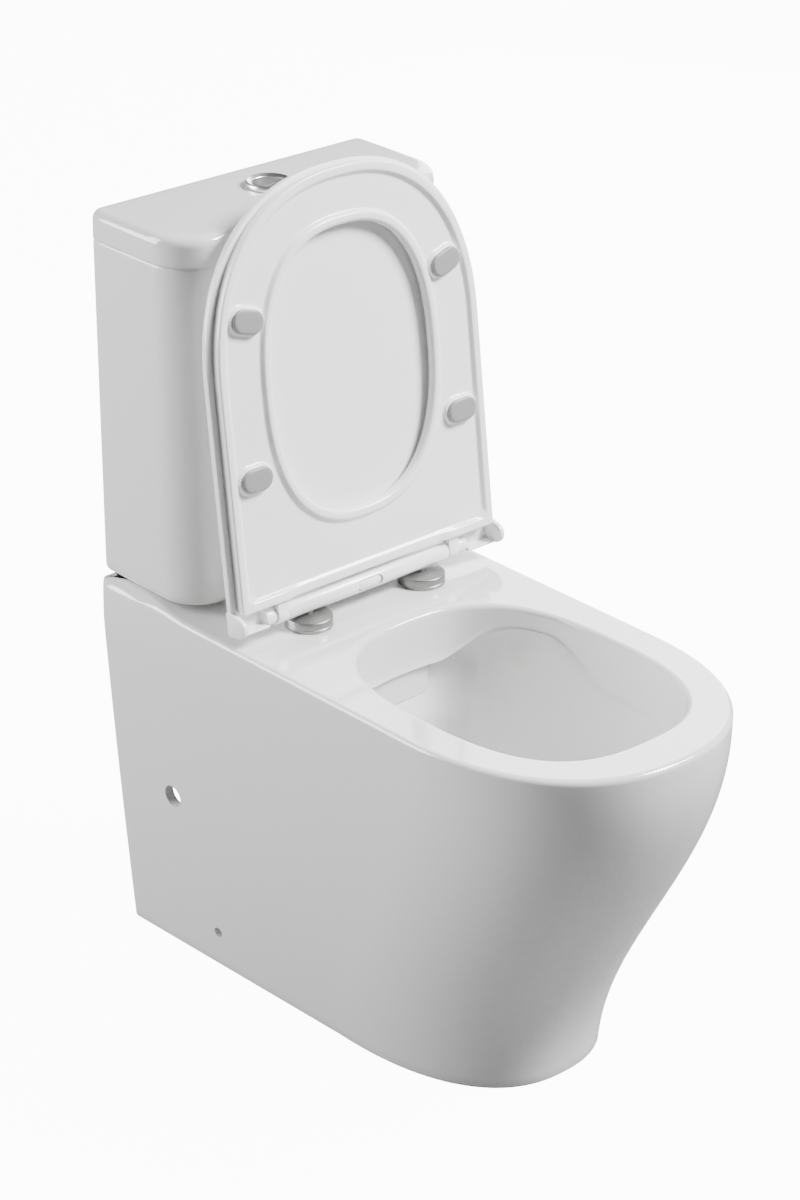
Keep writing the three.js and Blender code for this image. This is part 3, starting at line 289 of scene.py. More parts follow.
class Looks(bpy.types.PropertyGroup):
    """Colours and roughness of the finishes."""

    glaze: colour("Glaze", "White glazed china", (0.74, 0.74, 0.737))
    glaze_roughness: factor("Glaze roughness", "Roughness of the china", 0.1)
    plastic: colour("Seat plastic", "White seat", (0.92, 0.92, 0.918))
    plastic_roughness: factor("Seat roughness", "Roughness of the seat", 0.22)
    chrome: colour("Chrome", "Satin plate", (0.85, 0.85, 0.86))
    brushed: colour("Brushed nickel", "Turned hinge caps", (0.3, 0.297, 0.293))
    steel: colour("Steel", "Plain stainless", (0.55, 0.55, 0.55))
    bumper: colour("Bumper", "Soft grey pads", (0.27, 0.27, 0.27))
    rubber: colour("Rubber", "Black seals", (0.02, 0.02, 0.02))
    valve_white: colour("Valve white", "Moulded valve parts", (0.72, 0.74, 0.75))
    valve_blue: colour("Valve blue", "Moving valve parts", (0.04, 0.16, 0.4))
    studio: colour("Floor", "Pale studio floor", (0.22, 0.22, 0.22))


class StageSettings(bpy.types.PropertyGroup):
    """Camera, floor and lights."""

    azimuth: angle("Azimuth", "Camera round the object", -41.48)
    elevation: angle("Elevation", "Camera above the horizon", 25.36)
    roll: angle("Roll", "Camera roll", 0.36)
    distance: length("Distance", "Camera to its target", 3353.2)
    target: FloatVectorProperty(
        name="Target", description="Point the camera looks at",
        default=(-0.0709, 0.0986, 0.4855), size=3, subtype="TRANSLATION",
    )
    lens: factor("Lens", "Focal length in millimetres", 100.43)
    shift_x: factor("Shift X", "Sideways lens shift", 0.0631)
    shift_y: factor("Shift Y", "Upward lens shift", -0.0276)
    floor_size: length("Floor size", "Width of the floor", 13000)
    floor_bend: length("Floor bend", "Radius between floor and backdrop", 2000)
    key_power: factor("Key light", "Power of the high light in front, in watts", 500)
    left_power: factor("Left light", "Power of the light on the left, in watts", 205)
    right_power: factor("Right light", "Power of the light on the right, in watts", 75)
    world: factor("World", "Strength of the surrounding light", 0.05)
    glow: factor("Backdrop glow", "Brightness added to the backdrop in view", 12.0)


PROPERTIES = {
    "toilet_pan": PanSizes,
    "toilet_bowl": BowlSizes,
    "toilet_tank": TankSizes,
    "toilet_seat": SeatSizes,
    "toilet_hinge": HingeSizes,
    "toilet_looks": Looks,
    "toilet_stage": StageSettings,
}


def sizes(name):
    """The values of a property group, its lengths in millimetres."""
    group = getattr(bpy.context.scene, name)
    out = {}
    for key in type(group).__annotations__:
        value = getattr(group, key)
        if group.bl_rna.properties[key].unit == "LENGTH" and isinstance(value, float):
            value = value * 1000
        out[key] = value
    return types.SimpleNamespace(**out)


# ------------------------------------------------------------------ surfaces


def ease(t):
    """Smooth step: 0 below 0, 1 above 1, and 3t^2 - 2t^3 between."""
    s = np.clip(t, 0.0, 1.0)
    return s * s * (3 - 2 * s)


def lerp(a, b, t):
    """a at t = 0 and b at t = 1."""
    return a + (b - a) * t


def resample(points, count):
    """count points evenly spaced by length along an open line, both ends kept."""
    points = np.asarray(points, float)
    steps = np.linalg.norm(np.diff(points, axis=0), axis=1)
    along = np.concatenate([[0.0], np.cumsum(steps)])
    wanted = np.linspace(0.0, along[-1], count)
    columns = [np.interp(wanted, along, points[:, k]) for k in range(points.shape[1])]
    return np.stack(columns, axis=1)


def mirror_ring(half):
    """Closed ring from its right half, which runs from the back middle to the tip."""
    right = half[::-1]
    left = half[1:-1] * np.array([-1.0, 1.0])
    return np.concatenate([right, left])


def nose_ring(back_y, back_half, corner, side_half, nose_y, tip_y, power, counts):
    """Straight back, round corners, straight sides, then a superellipse nose."""
    turn = np.linspace(math.pi / 2, 0, 40)
    centre = np.array([back_half - corner, back_y - corner])
    arc = centre + corner * np.stack([np.cos(turn), np.sin(turn)], axis=1)
    t = np.linspace(0, math.pi / 2, 500)
    nose = np.stack([
        side_half * np.cos(t) ** (2 / power),
        nose_y - (nose_y - tip_y) * np.sin(t) ** (2 / power),
    ], axis=1)
    parts = [
        resample([(0.0, back_y), arc[0]], counts[0]),
        resample(arc, counts[1])[1:],
        resample([arc[-1], nose[0]], counts[2])[1:],
        resample(nose, counts[3])[1:],
    ]
    half = np.concatenate(parts)
    half[-1, 0] = 0.0
    return mirror_ring(half)


def super_ring(half_x, half_y, y, power, count):
    """Superellipse |x/a|^p + |y/b|^p = 1 from its lowest y, evenly spaced by length."""
    t = np.linspace(-math.pi / 2, math.pi * 1.5, 1441)
    c, s = np.cos(t), np.sin(t)
    curve = np.stack([
        half_x * np.sign(c) * np.abs(c) ** (2 / power),
        y + half_y * np.sign(s) * np.abs(s) ** (2 / power),
    ], axis=1)
    return resample(curve, count + 1)[:-1]


def box_ring(half, front_y, back_y, front_corner, back_corner, counts):
    """Rectangle with one corner radius in front and another behind, from the front middle."""
    def arc(x, y, radius, start, end, count):
        t = np.radians(np.linspace(start, end, count))
        return np.stack([x + radius * np.cos(t), y + radius * np.sin(t)], axis=1)

    front = arc(half - front_corner, front_y + front_corner, front_corner, -90, 0, counts[1])
    back = arc(half - back_corner, back_y - back_corner, back_corner, 0, 90, counts[3])
    right = np.concatenate([
        resample([(0.0, front_y), front[0]], counts[0])[:-1],
        front,
        resample([front[-1], back[0]], counts[2])[1:-1],
        back,
        resample([back[-1], (0.0, back_y)], counts[4])[1:],
    ])
    left = right[1:-1][::-1] * np.array([-1.0, 1.0])
    return np.concatenate([right, left])


def capsule_ring(half_length, half_width, grow, x, y, turn, count=72):
    """Outline of a bar with round ends, grown outwards, turned about its middle."""
    flat = half_length - half_width
    radius = half_width + grow
    t = np.linspace(-math.pi / 2, math.pi / 2, 60)
    right = np.stack([flat + radius * np.cos(t), radius * np.sin(t)], axis=1)
    line = np.concatenate([right, -right, right[:1]])
    ring = resample(line, count + 1)[:-1]
    c, s = math.cos(turn), math.sin(turn)
    return ring @ np.array([[c, s], [-s, c]]) + np.array([x, y])


def at_height(ring, z):
    """A flat ring lifted to a height, or to one height for each of its points."""
    return np.column_stack([ring, np.broadcast_to(z, len(ring))])


def quarter(radius, count, start=0.0):
    """Quarter circle as (in, down) pairs, from the side face up to the top face."""
    t = np.linspace(start, math.pi / 2, count)
    return np.stack([radius * (1 - np.cos(t)), radius * (1 - np.sin(t))], axis=1)


def surface(rows, ring=False):
    """Points and faces of a closed skin through rows of points.

    Each row closes on itself. The last row meets the first where ring is set,
    and a fan closes both ends where it isn't. Faces are turned outwards by the
    sign of the volume that they hold.
    """
    rows = np.asarray(rows, float)
    count, columns = rows.shape[:2]
    points = rows.reshape(-1, 3)
    across = np.arange(columns)[None, :]
    after = (across + 1) % columns
    level = np.arange(count if ring else count - 1)[:, None]
    upper = (level + 1) % count
    quads = np.stack([
        level * columns + across, level * columns + after,
        upper * columns + after, upper * columns + across,
    ], axis=-1).reshape(-1, 4)
    fans = np.zeros((0, 3), int)
    if not ring:
        hub = len(points)
        points = np.vstack([points, rows[0].mean(axis=0), rows[-1].mean(axis=0)])
        edge, step = across[0], after[0]
        last = (count - 1) * columns
        fans = np.concatenate([
            np.stack([step, edge, np.full(columns, hub)], axis=1),
            np.stack([last + edge, last + step, np.full(columns, hub + 1)], axis=1),
        ])
    triangles = np.concatenate([quads[:, [0, 1, 2]], quads[:, [0, 2, 3]], fans])
    corner = points[triangles]
    volume = np.einsum("ij,ij->i", corner[:, 0], np.cross(corner[:, 1], corner[:, 2])).sum()
    if volume < 0:
        quads, fans = quads[:, ::-1], fans[:, ::-1]
    return points, quads.tolist() + fans.tolist()


def turned(profile, x, y, sides=96, ring=False):
    """Surface of revolution of (radius, height) pairs about an upright axis."""
    t = np.linspace(0, 2 * math.pi, sides, endpoint=False)
    rows = [np.column_stack([x + r * np.cos(t), y + r * np.sin(t), np.full(sides, z)])
            for r, z in profile]
    return surface(rows, ring)


def rounded(profile, radius, count=5):
    """A closed polygon with each corner replaced by an arc that fits the corner."""
    profile = np.asarray(profile, float)
    out = []
    for i, corner in enumerate(profile):
        before = profile[i - 1] - corner
        after = profile[(i + 1) % len(profile)] - corner
        reach = min(radius, np.linalg.norm(before) * 0.49, np.linalg.norm(after) * 0.49)
        start = corner + before / np.linalg.norm(before) * reach
        end = corner + after / np.linalg.norm(after) * reach
        for t in np.linspace(0, 1, count):
            out.append((1 - t) ** 2 * start + 2 * t * (1 - t) * corner + t * t * end)
    return np.array(out)


def tube(path, radius, sides=40):
    """Round bar of one radius along points in the middle plane, given as (y, z)."""
    t = np.linspace(0, 2 * math.pi, sides, endpoint=False)
    ahead = np.gradient(path, axis=0)
    ahead = ahead / np.linalg.norm(ahead, axis=1)[:, None]
    rows = []
    for (y, z), (dy, dz) in zip(path, ahead):
        rows.append(np.column_stack([
            radius * np.cos(t), y - radius * np.sin(t) * dz, z + radius * np.sin(t) * dy,
        ]))
    return surface(rows)


def smooth_line(points, count):
    """Even points along a Catmull-Rom curve through the given ones."""
    p = np.asarray(points, float)
    p = np.vstack([2 * p[0] - p[1], p, 2 * p[-1] - p[-2]])
    out = []
    for i in range(1, len(p) - 2):
        for t in np.linspace(0, 1, 24, endpoint=False):
            a, b, c, d = p[i - 1:i + 3]
            out.append(0.5 * (2 * b + (c - a) * t + (2 * a - 5 * b + 4 * c - d) * t * t
                              + (3 * b - a - 3 * c + d) * t ** 3))
    out.append(p[-2])
    return resample(out, count)


def crosswise(profile, x0, x1, edge=0.0, steps=3):
    """Bar along X with a closed (y, z) profile and rounded ends.

    At each end the profile shrinks towards its middle by the edge radius along a
    quarter circle.
    """
    profile = np.asarray(profile, float)
    middle = profile.mean(axis=0)
    reach = np.linalg.norm(profile - middle, axis=1).max()
    ends = quarter(edge, steps)[::-1] if edge else np.zeros((1, 2))
    rows = [(x0 + along, 1 - inward / reach) for inward, along in ends]
    rows += [(x1 - along, 1 - inward / reach) for inward, along in ends[::-1]]
    return surface([
        np.column_stack([np.full(len(profile), x), middle + (profile - middle) * scale])
        for x, scale in rows
    ])


def span(side, start, end):
    """Two distances off the centre line as X values in rising order."""
    return tuple(sorted((side * start, side * end)))


def tilt(skin, seat):
    """A skin drawn closed from the axle, as (x, -ahead, height), turned open about it."""
    points, faces = skin
    c, s = math.cos(seat.open_angle), -math.sin(seat.open_angle)
    y = points[:, 1] * c - points[:, 2] * s + seat.axle_y
    z = points[:, 1] * s + points[:, 2] * c + seat.axle_z
    return np.column_stack([points[:, 0], y, z]), faces


# ------------------------------------------------------------------ objects


def make_object(name, skin):
    """A mesh object at the origin from points in millimetres."""
    points, faces = skin
    mesh = bpy.data.meshes.new(name)
    mesh.from_pydata((points * 0.001).tolist(), [], faces)
    mesh.update()
    made = bpy.data.objects.new(name, mesh)
    bpy.context.scene.collection.objects.link(made)
    return made


def combine(made, *steps):
    """The object after joining ("UNION") or cutting ("DIFFERENCE") each skin in turn."""
    tools = []
    for index, (operation, skin) in enumerate(steps):
        tool = make_object(f"{made.name} tool {index}", skin)
        modifier = made.modifiers.new(f"Step {index}", "BOOLEAN")
        modifier.operation = operation
        modifier.object = tool
        modifier.solver = "MANIFOLD"
        tools.append(tool)
    bpy.context.view_layer.update()
    graph = bpy.context.evaluated_depsgraph_get()
    mesh = bpy.data.meshes.new_from_object(made.evaluated_get(graph))
    if not mesh.polygons:
        raise RuntimeError(f"the cuts left nothing of {made.name}")
    made.modifiers.clear()
    made.data = mesh
    for tool in tools:
        bpy.data.meshes.remove(tool.data)
    return made


def finish_piece(made, slot, body, node):
    """Shades a piece, gives it its finish, and ties it to the frame."""
    mesh = made.data
    mesh.shade_smooth()
    mesh.set_sharp_from_angle(angle=SHARP_ANGLE)
    mesh.materials.clear()
    mesh.materials.append(finish_of(slot))
    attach(made, body)
    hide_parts(node)


# ------------------------------------------------------------------ finishes


def link(tree, source, target):
    """Joins two sockets of one node tree."""
    tree.links.new(source, target)


def make_node(tree, kind, **settings):
    """A node with its settings and its unlinked input values."""
    made = tree.nodes.new(kind)
    for key, value in settings.items():
        if key in made.inputs:
            made.inputs[key].default_value = value
        else:
            setattr(made, key, value)
    return made


def maths(tree, operation, *values):
    """The result of a math node fed by sockets and plain numbers."""
    made = make_node(tree, "ShaderNodeMath", operation=operation)
    for target, value in zip(made.inputs, values):
        if isinstance(value, float):
            target.default_value = value
        else:
            link(tree, value, target)
    return made.outputs[0]


def surface_effect():
    """Node group: a broad ripple and a fine speckle of roughness over a smooth surface.

    The ripple is noise in Object coordinates used as a bump. The speckle is
    finer noise that moves roughness by a few hundredths.
    """
    name = "Surface ripple"
    if name in bpy.data.node_groups:
        return bpy.data.node_groups[name]
    group = bpy.data.node_groups.new(name, "ShaderNodeTree")
    for socket, kind, value in (
        ("Roughness", "NodeSocketFloat", 0.1), ("Speckle", "NodeSocketFloat", 0.03),
        ("Ripple", "NodeSocketFloat", 0.1), ("Ripple scale", "NodeSocketFloat", 12.0),
    ):
        made = group.interface.new_socket(socket, in_out="INPUT", socket_type=kind)
        made.default_value = value
    group.interface.new_socket("Roughness", in_out="OUTPUT", socket_type="NodeSocketFloat")
    group.interface.new_socket("Normal", in_out="OUTPUT", socket_type="NodeSocketVector")
    given = group.nodes.new("NodeGroupInput")
    result = group.nodes.new("NodeGroupOutput")
    place = make_node(group, "ShaderNodeTexCoord")
    ripple = make_node(group, "ShaderNodeTexNoise", Detail=2.0)
    link(group, place.outputs["Object"], ripple.inputs["Vector"])
    link(group, given.outputs["Ripple scale"], ripple.inputs["Scale"])
    bump = make_node(group, "ShaderNodeBump", Distance=0.002)
    link(group, given.outputs["Ripple"], bump.inputs["Strength"])
    link(group, ripple.outputs["Fac"], bump.inputs["Height"])
    speckle = make_node(group, "ShaderNodeTexNoise", Scale=90.0, Detail=4.0)
    link(group, place.outputs["Object"], speckle.inputs["Vector"])
    middle = maths(group, "SUBTRACT", speckle.outputs["Fac"], 0.5)
    rough = maths(group, "MULTIPLY_ADD", middle, given.outputs["Speckle"],
                  given.outputs["Roughness"])
    link(group, rough, result.inputs["Roughness"])
    link(group, bump.outputs["Normal"], result.inputs["Normal"])
    return group


def make_material(name, rgb, roughness, metallic=0.0, coat=0.0, ripple=0.0, scale=12.0,
                  speckle=0.03):
    """Principled material whose roughness and normal come from the surface effect."""
    material = bpy.data.materials.new(name)
    material.use_nodes = True
    tree = material.node_tree
    shader = tree.nodes["Principled BSDF"]
    shader.inputs["Base Color"].default_value = (*rgb, 1.0)
    shader.inputs["Metallic"].default_value = metallic
    shader.inputs["Coat Weight"].default_value = coat
    shader.inputs["Coat Roughness"].default_value = 0.03
    effect = make_node(tree, "ShaderNodeGroup", node_tree=surface_effect())
    effect.inputs["Roughness"].default_value = roughness
    effect.inputs["Speckle"].default_value = speckle
    effect.inputs["Ripple"].default_value = ripple
    effect.inputs["Ripple scale"].default_value = scale
    link(tree, effect.outputs["Roughness"], shader.inputs["Roughness"])
    if ripple:
        link(tree, effect.outputs["Normal"], shader.inputs["Normal"])
    return material


def lathe_brushing(material):
    """Fine grooves round the axis: noise along the stored distance from the axis."""
    tree = material.node_tree
    shader = tree.nodes["Principled BSDF"]
    radius = make_node(tree, "ShaderNodeAttribute", attribute_name="lathe_radius")
    grooves = make_node(tree, "ShaderNodeTexNoise", noise_dimensions="1D",
                        Scale=1800.0, Detail=3.0)
    link(tree, radius.outputs["Fac"], grooves.inputs["W"])
    bump = make_node(tree, "ShaderNodeBump", Strength=0.35, Distance=0.0003)
    link(tree, grooves.outputs["Fac"], bump.inputs["Height"])
    link(tree, bump.outputs["Normal"], shader.inputs["Normal"])
    return material


FINISHES = {
    "china": ("glaze", {"coat": 0.6, "ripple": 0.05, "scale": 9.0}),
    "seat_plastic": ("plastic", {"coat": 0.25}),
    "chrome": ("chrome", {"roughness": 0.33, "metallic": 1.0, "speckle": 0.05}),
    "brushed_nickel": ("brushed", {"roughness": 0.38, "metallic": 1.0}),
    "steel": ("steel", {"roughness": 0.3, "metallic": 1.0, "speckle": 0.1}),
    "bumper_grey": ("bumper", {"roughness": 0.42, "speckle": 0.1}),
    "black_rubber": ("rubber", {"roughness": 0.6, "speckle": 0.1}),
    "valve_white": ("valve_white", {"roughness": 0.35}),
    "valve_blue": ("valve_blue", {"roughness": 0.35}),
}


def finish_of(slot):
    """The material of a slot, made when it is first asked for."""
    name = f"{slot}_finish"
    if name in bpy.data.materials:
        return bpy.data.materials[name]
    looks = sizes("toilet_looks")
    colour_name, settings = FINISHES[slot]
    settings = {"roughness": getattr(looks, f"{colour_name}_roughness", None), **settings}
    made = make_material(name, getattr(looks, colour_name), **settings)
    return lathe_brushing(made) if slot == "brushed_nickel" else made


# ------------------------------------------------------------------ pan


def deck_height(pan, y):
    """Rim height, rising smoothly to the platform under the tank."""
    return pan.deck + pan.rise * ease((y - pan.rise_front) / (pan.rise_back - pan.rise_front))


def skirt_ring(pan, z, inset=0.0):
    """Outline of the pan's outside at a height: back corners, straight sides and nose.

    The back's half width grows with height along a parabola, the side's with a
    slower one, and the nose reaches forward along a smooth step.
    """
    w = np.clip(z / pan.widest, 0, 1)
    up = np.clip(z / pan.deck, 0, 1)
    back_half = lerp(pan.back_foot, pan.back_top, 1.15 * w - 0.15 * w * w)
    side_half = lerp(pan.nose_foot, pan.nose_top, min(1.46 * up - 0.46 * up * up, 1.0))
    reach = lerp(pan.foot_reach, pan.depth, ease(1.06 * up))
    tip = pan.wall_y - reach
    return nose_ring(
        pan.wall_y - inset, back_half - inset, max(pan.corner - inset, 1.0),
        side_half - inset, tip + pan.nose, tip + inset, 2.4 - 0.2 * up, (14, 8, 44, 76),
    )


def bowl_ring(bowl, pan, z, grow, count, roof=0.0):
    """Inside of the bowl at a height: the band, then a slope that closes on the sump.

    Towards the back the wall steps out under the band, most at the back and
    nothing at the front, and comes back in towards the recess's floor.
    """
    band_z = pan.deck - bowl.band
    depth = np.clip((band_z - z) / (band_z - bowl.sump_height), 0, 1)
    inward = 0.45 * depth + 0.55 * ease(depth)
    shelf = bowl.shelf * ease((band_z - z) / 18 + 0.5)
    centre = pan.wall_y - bowl.from_wall
    sump = pan.wall_y - bowl.sump_from_wall
    ring = super_ring(
        lerp(bowl.half_width - shelf, bowl.sump_half_width, inward) + grow,
        lerp(bowl.half_length - shelf, bowl.sump_half_length, inward) + grow,
        lerp(centre, sump, inward), lerp(bowl.power, 2.2, inward), count,
    )
    open_share = 1.0 if z <= band_z + roof else 0.0
    fade = ease((z - roof - bowl.recess_floor) / (band_z - bowl.recess_floor)) * open_share
    if fade <= 0:
        return ring
    out = ring - np.array([0.0, ring[:, 1].mean()])
    back = ease((out[:, 1] / out[:, 1].max() - 0.45) / 0.4)
    push = ((bowl.recess + shelf) * fade * back)[:, None]
    return ring + out / np.linalg.norm(out, axis=1)[:, None] * push


def arched(bowl, pan, ring, z, peak, limit):
    """Heights of a row whose peak level is arched towards the back corners.

    The lift grows with the distance off the centre line, at the back only, and
    fades to nothing at the recess's floor and at the limit above.
    """
    centre = pan.wall_y - bowl.from_wall
    side = ease((np.abs(ring[:, 0]) - 40) / 75)
    back = ease((ring[:, 1] - centre) / bowl.half_length / 0.5)
    low = np.clip((z - bowl.recess_floor) / (peak - bowl.recess_floor), 0, 1)
    high = np.clip((limit - z) / (limit - peak), 0, 1)
    return z + bowl.arch * side * back * min(low, high)


def pan_skin(pan, bowl):
    """Skin of the pan from the sump over the rim, down the skirt and up inside it.

    Every row has one point for each column of the outline. The rim's edge radius
    grows from the small one to the back one beside the tank.
    """
    top = pan.deck + pan.rise
    heights = np.concatenate([np.linspace(0, 380, 32), np.linspace(384, top, 15)])
    table = np.array([skirt_ring(pan, z) for z in heights])
    inner_table = np.array([skirt_ring(pan, z, pan.wall) for z in heights])
    columns = table.shape[1]
    column = np.arange(columns)

    def on_skirt(z, rings=table):
        z = np.broadcast_to(z, columns).astype(float)
        k = np.clip(np.searchsorted(heights, z) - 1, 0, len(heights) - 2)
        t = ((z - heights[k]) / (heights[k + 1] - heights[k]))[:, None]
        return rings[k, column] * (1 - t) + rings[k + 1, column] * t

    outline = table[-1]
    along = np.roll(outline, -1, axis=0) - np.roll(outline, 1, axis=0)
    normal = np.column_stack([along[:, 1], -along[:, 0]])
    normal = normal / np.linalg.norm(normal, axis=1)[:, None]
    beside = ease((outline[:, 1] - 215) / 80) * ease(np.abs(normal[:, 0]) * 3 - 1.2)
    radius = lerp(pan.edge, pan.back_edge, beside)[:, None]
    top_z = deck_height(pan, outline[:, 1])

    band_z = pan.deck - bowl.band
    rows = []
    floor = bowl_ring(bowl, pan, bowl.sump_height, 0, columns)
    centre = floor.mean(axis=0)
    for shrink, lift in ((0.12, 0), (0.4, 0.3), (0.62, 2), (0.8, 6.5), (0.92, 13)):
        rows.append(at_height(centre + (floor - centre) * shrink, bowl.sump_height + lift))
    rim_z = pan.deck - bowl.lip
    for z in np.concatenate([
        np.linspace(bowl.sump_height + 24, band_z - 8, 36), band_z + np.linspace(-5, 0, 7),
        band_z + np.array([0.05, 0.4, 1.2, 2.4, 5]), np.linspace(band_z + 10, rim_z, 6),
    ]):
        ring = bowl_ring(bowl, pan, z, 0, columns)
        rows.append(at_height(ring, arched(bowl, pan, ring, z, band_z, rim_z)))
    for inward, down in quarter(bowl.lip, 7)[1:]:
        ring = bowl_ring(bowl, pan, pan.deck, inward, columns)
        rows.append(at_height(ring, pan.deck - down))
    opening = rows[-1][:, :2]
    rim = on_skirt(top_z - radius[:, 0]) - normal * radius
    for t in np.linspace(0, 1, 40)[1:]:
        flat = lerp(opening, rim, t)
        rows.append(at_height(flat, deck_height(pan, flat[:, 1])))
    for t in np.linspace(math.pi / 2, 0, 9)[1:]:
        z = top_z - radius[:, 0] * (1 - math.sin(t))
        edge = on_skirt(z) - normal * radius * (1 - math.cos(t))
        rows.append(at_height(edge, z))
    start = top_z - radius[:, 0]
    for t in np.linspace(0, 1, 46)[1:]:
        z = lerp(start, 3.0, t)
        rows.append(at_height(on_skirt(z), z))
    for inset, z in ((0.4, 1.4), (1.2, 0.4), (2.2, 0.0)):
        rows.append(at_height(skirt_ring(pan, 0, inset), z))
    ceiling = pan.deck - pan.ceiling
    for z in np.concatenate([[0.0, 2.0], np.linspace(20, ceiling, 14)]):
        rows.append(at_height(on_skirt(z, inner_table), z))
    shell = at_height(bowl_ring(bowl, pan, band_z + 4, bowl.wall, columns), ceiling)
    roof_edge = at_height(on_skirt(ceiling, inner_table), ceiling)
    rows += [lerp(roof_edge, shell, t) for t in (0.25, 0.5, 0.75)]
    for z in np.linspace(ceiling, bowl.sump_height, 24):
        ring = bowl_ring(bowl, pan, z, bowl.wall, columns, bowl.wall)
        level = arched(bowl, pan, ring, z, band_z + bowl.wall, ceiling + 3.0)
        rows.append(at_height(ring, np.minimum(level, ceiling)))
    base = bowl_ring(bowl, pan, bowl.sump_height, bowl.wall, columns)
    for shrink, drop in ((0.97, 6), (0.85, 9.2), (0.5, 10)):
        rows.append(at_height(centre + (base - centre) * shrink, bowl.sump_height - drop))
    return surface(rows)


def trap_paths(pan, bowl):
    """The trapway's line from the sump over the crest, and its outlet, as (y, z)."""
    start = pan.wall_y - bowl.sump_from_wall
    end = pan.wall_y - bowl.outlet_end
    fall = (bowl.crest, bowl.outlet_height)
    bend = [
        (start, 118), (start + 58, 126), (start + 120.5, 174), (start + 158.5, 224),
        (start + 198.5, fall[0]), (start + 227, 210), (end - 36, 182), (end - 20, fall[1]),
    ]
    outlet = [(end - 30, fall[1]), (end - 10, fall[1]), (end, fall[1])]
    return smooth_line(bend, 70), np.array(outlet, float)


def rod(x, y, low, high, radius, sides=40):
    """Plain upright cutting tool."""
    return turned([(radius, low), (radius, high)], x, y, sides)


def block(half, y0, y1, low, high, corner=4.0):
    """Upright cutting tool across the centre line, with rounded corners."""
    ring = box_ring(half, y0, y1, corner, corner, (4, 6, 4, 6, 4))
    return surface([at_height(ring, low), at_height(ring, high)])


def make_pan():
    """The pan with its trapway, water duct, openings and bolt holes."""
    pan, bowl = sizes("toilet_pan"), sizes("toilet_bowl")
    tank, hinge = sizes("toilet_tank"), sizes("toilet_hinge")
    flush_y = pan.wall_y - tank.axis_from_wall
    deck, ceiling = pan.deck, pan.deck - pan.ceiling
    bend, outlet = trap_paths(pan, bowl)
    past_end = outlet[-1:] + [[12, 0]]
    duct_front = pan.wall_y - bowl.from_wall + bowl.half_length
    support = [
        (flush_y - 40, 330), (flush_y + 40, 330), (flush_y + 40, deck - 10),
        (flush_y - 40, deck - 10),
    ]
    steps = [
        ("DIFFERENCE", block(pan.rear_half, pan.wall_y - 30, pan.wall_y + 20, -20,
                             pan.rear_top, 1)),
        ("UNION", tube(np.vstack([bend, outlet[:1]]), bowl.trap_bore + bowl.trap_wall, 48)),
        ("UNION", tube(outlet, bowl.outlet, 64)),
        ("UNION", block(bowl.duct_half + bowl.duct_wall, duct_front + 4, flush_y + 42,
                        bowl.duct_floor - bowl.duct_wall, ceiling + 4)),
        ("UNION", crosswise(support, -46, 46)),
        ("DIFFERENCE", tube(np.vstack([bend, outlet, past_end]), bowl.trap_bore, 48)),
        ("DIFFERENCE", block(bowl.duct_half, duct_front + 8, flush_y + 30, bowl.duct_floor,
                             bowl.duct_top, 6)),
        ("DIFFERENCE", rod(0, flush_y, bowl.duct_floor + 6, deck + 20, bowl.duct_drop)),
        ("DIFFERENCE", rod(0, flush_y, ceiling, deck + 20, pan.inlet, 64)),
    ]
    for x, y, radius in (
        (hinge.spread, hinge.cap_y, pan.hinge_hole), (-hinge.spread, hinge.cap_y, pan.hinge_hole),
        (tank.bolt_side, flush_y, tank.bolt_hole), (-tank.bolt_side, flush_y, tank.bolt_hole),
        (tank.fill_side, flush_y, pan.fill_hole),
    ):
        steps.append(("DIFFERENCE", rod(x, y, deck - 60, deck + 20, radius)))
    for y, z, radius in (
        (pan.upper_y, pan.upper_z, pan.upper_hole), (pan.lower_y, pan.lower_z, pan.lower_hole),
    ):
        for side in (-1, 1):
            x0, x1 = span(side, 100, 190)
            steps.append(("DIFFERENCE", crosswise(circle(radius, y, z, 32), x0, x1)))
    made = combine(make_object("pan_china", pan_skin(pan, bowl)), *steps)
    finish_piece(made, "china", "pan_and_tank", "pan")


# ------------------------------------------------------------------ tank


def make_tank():
    """The tank: tapered box with soft front corners, open at the top, with four holes."""
    tank, wall_y = sizes("toilet_tank"), sizes("toilet_pan").wall_y
    height = tank.top - tank.foot

    def ring(inset, z):
        half = lerp(tank.half_foot, tank.half_top, np.clip((z - tank.foot) / height, 0, 1))
        return at_height(box_ring(
            half - inset, wall_y - tank.depth + inset, wall_y - inset,
            max(tank.corner - inset, 3), max(tank.back_corner - inset, 2), BOX_COUNTS,
        ), z)

    rows = [ring(50, tank.foot), ring(26, tank.foot)]
    for inward, down in quarter(tank.foot_edge, 9)[::-1]:
        rows.append(ring(inward, tank.foot + down))
    rows += [ring(0, z) for z in np.linspace(tank.foot + 24, tank.top - 8, 24)]
    rows += [ring(inward, tank.top - down) for inward, down in quarter(3, 5)]
    rows += [ring(tank.wall - inward, tank.top - down) for inward, down in quarter(2, 5)[::-1]]
    floor = tank.foot + tank.floor
    rows += [ring(tank.wall, z) for z in np.linspace(tank.top - 12, floor + 12, 16)]
    rows += [ring(tank.wall + inward, floor + down) for inward, down in quarter(8, 6)]
    rows.append(ring(tank.wall + 40, floor))
    flush_y = wall_y - tank.axis_from_wall
    steps = [("DIFFERENCE", rod(x, flush_y, tank.foot - 20, floor + 20, radius, 56))
             for x, radius in ((0, tank.valve_hole), (tank.fill_side, tank.fill_hole),
                               (tank.bolt_side, tank.bolt_hole),
                               (-tank.bolt_side, tank.bolt_hole))]
    made = combine(make_object("tank_china", surface(rows)), *steps)
    finish_piece(made, "china", "pan_and_tank", "tank")


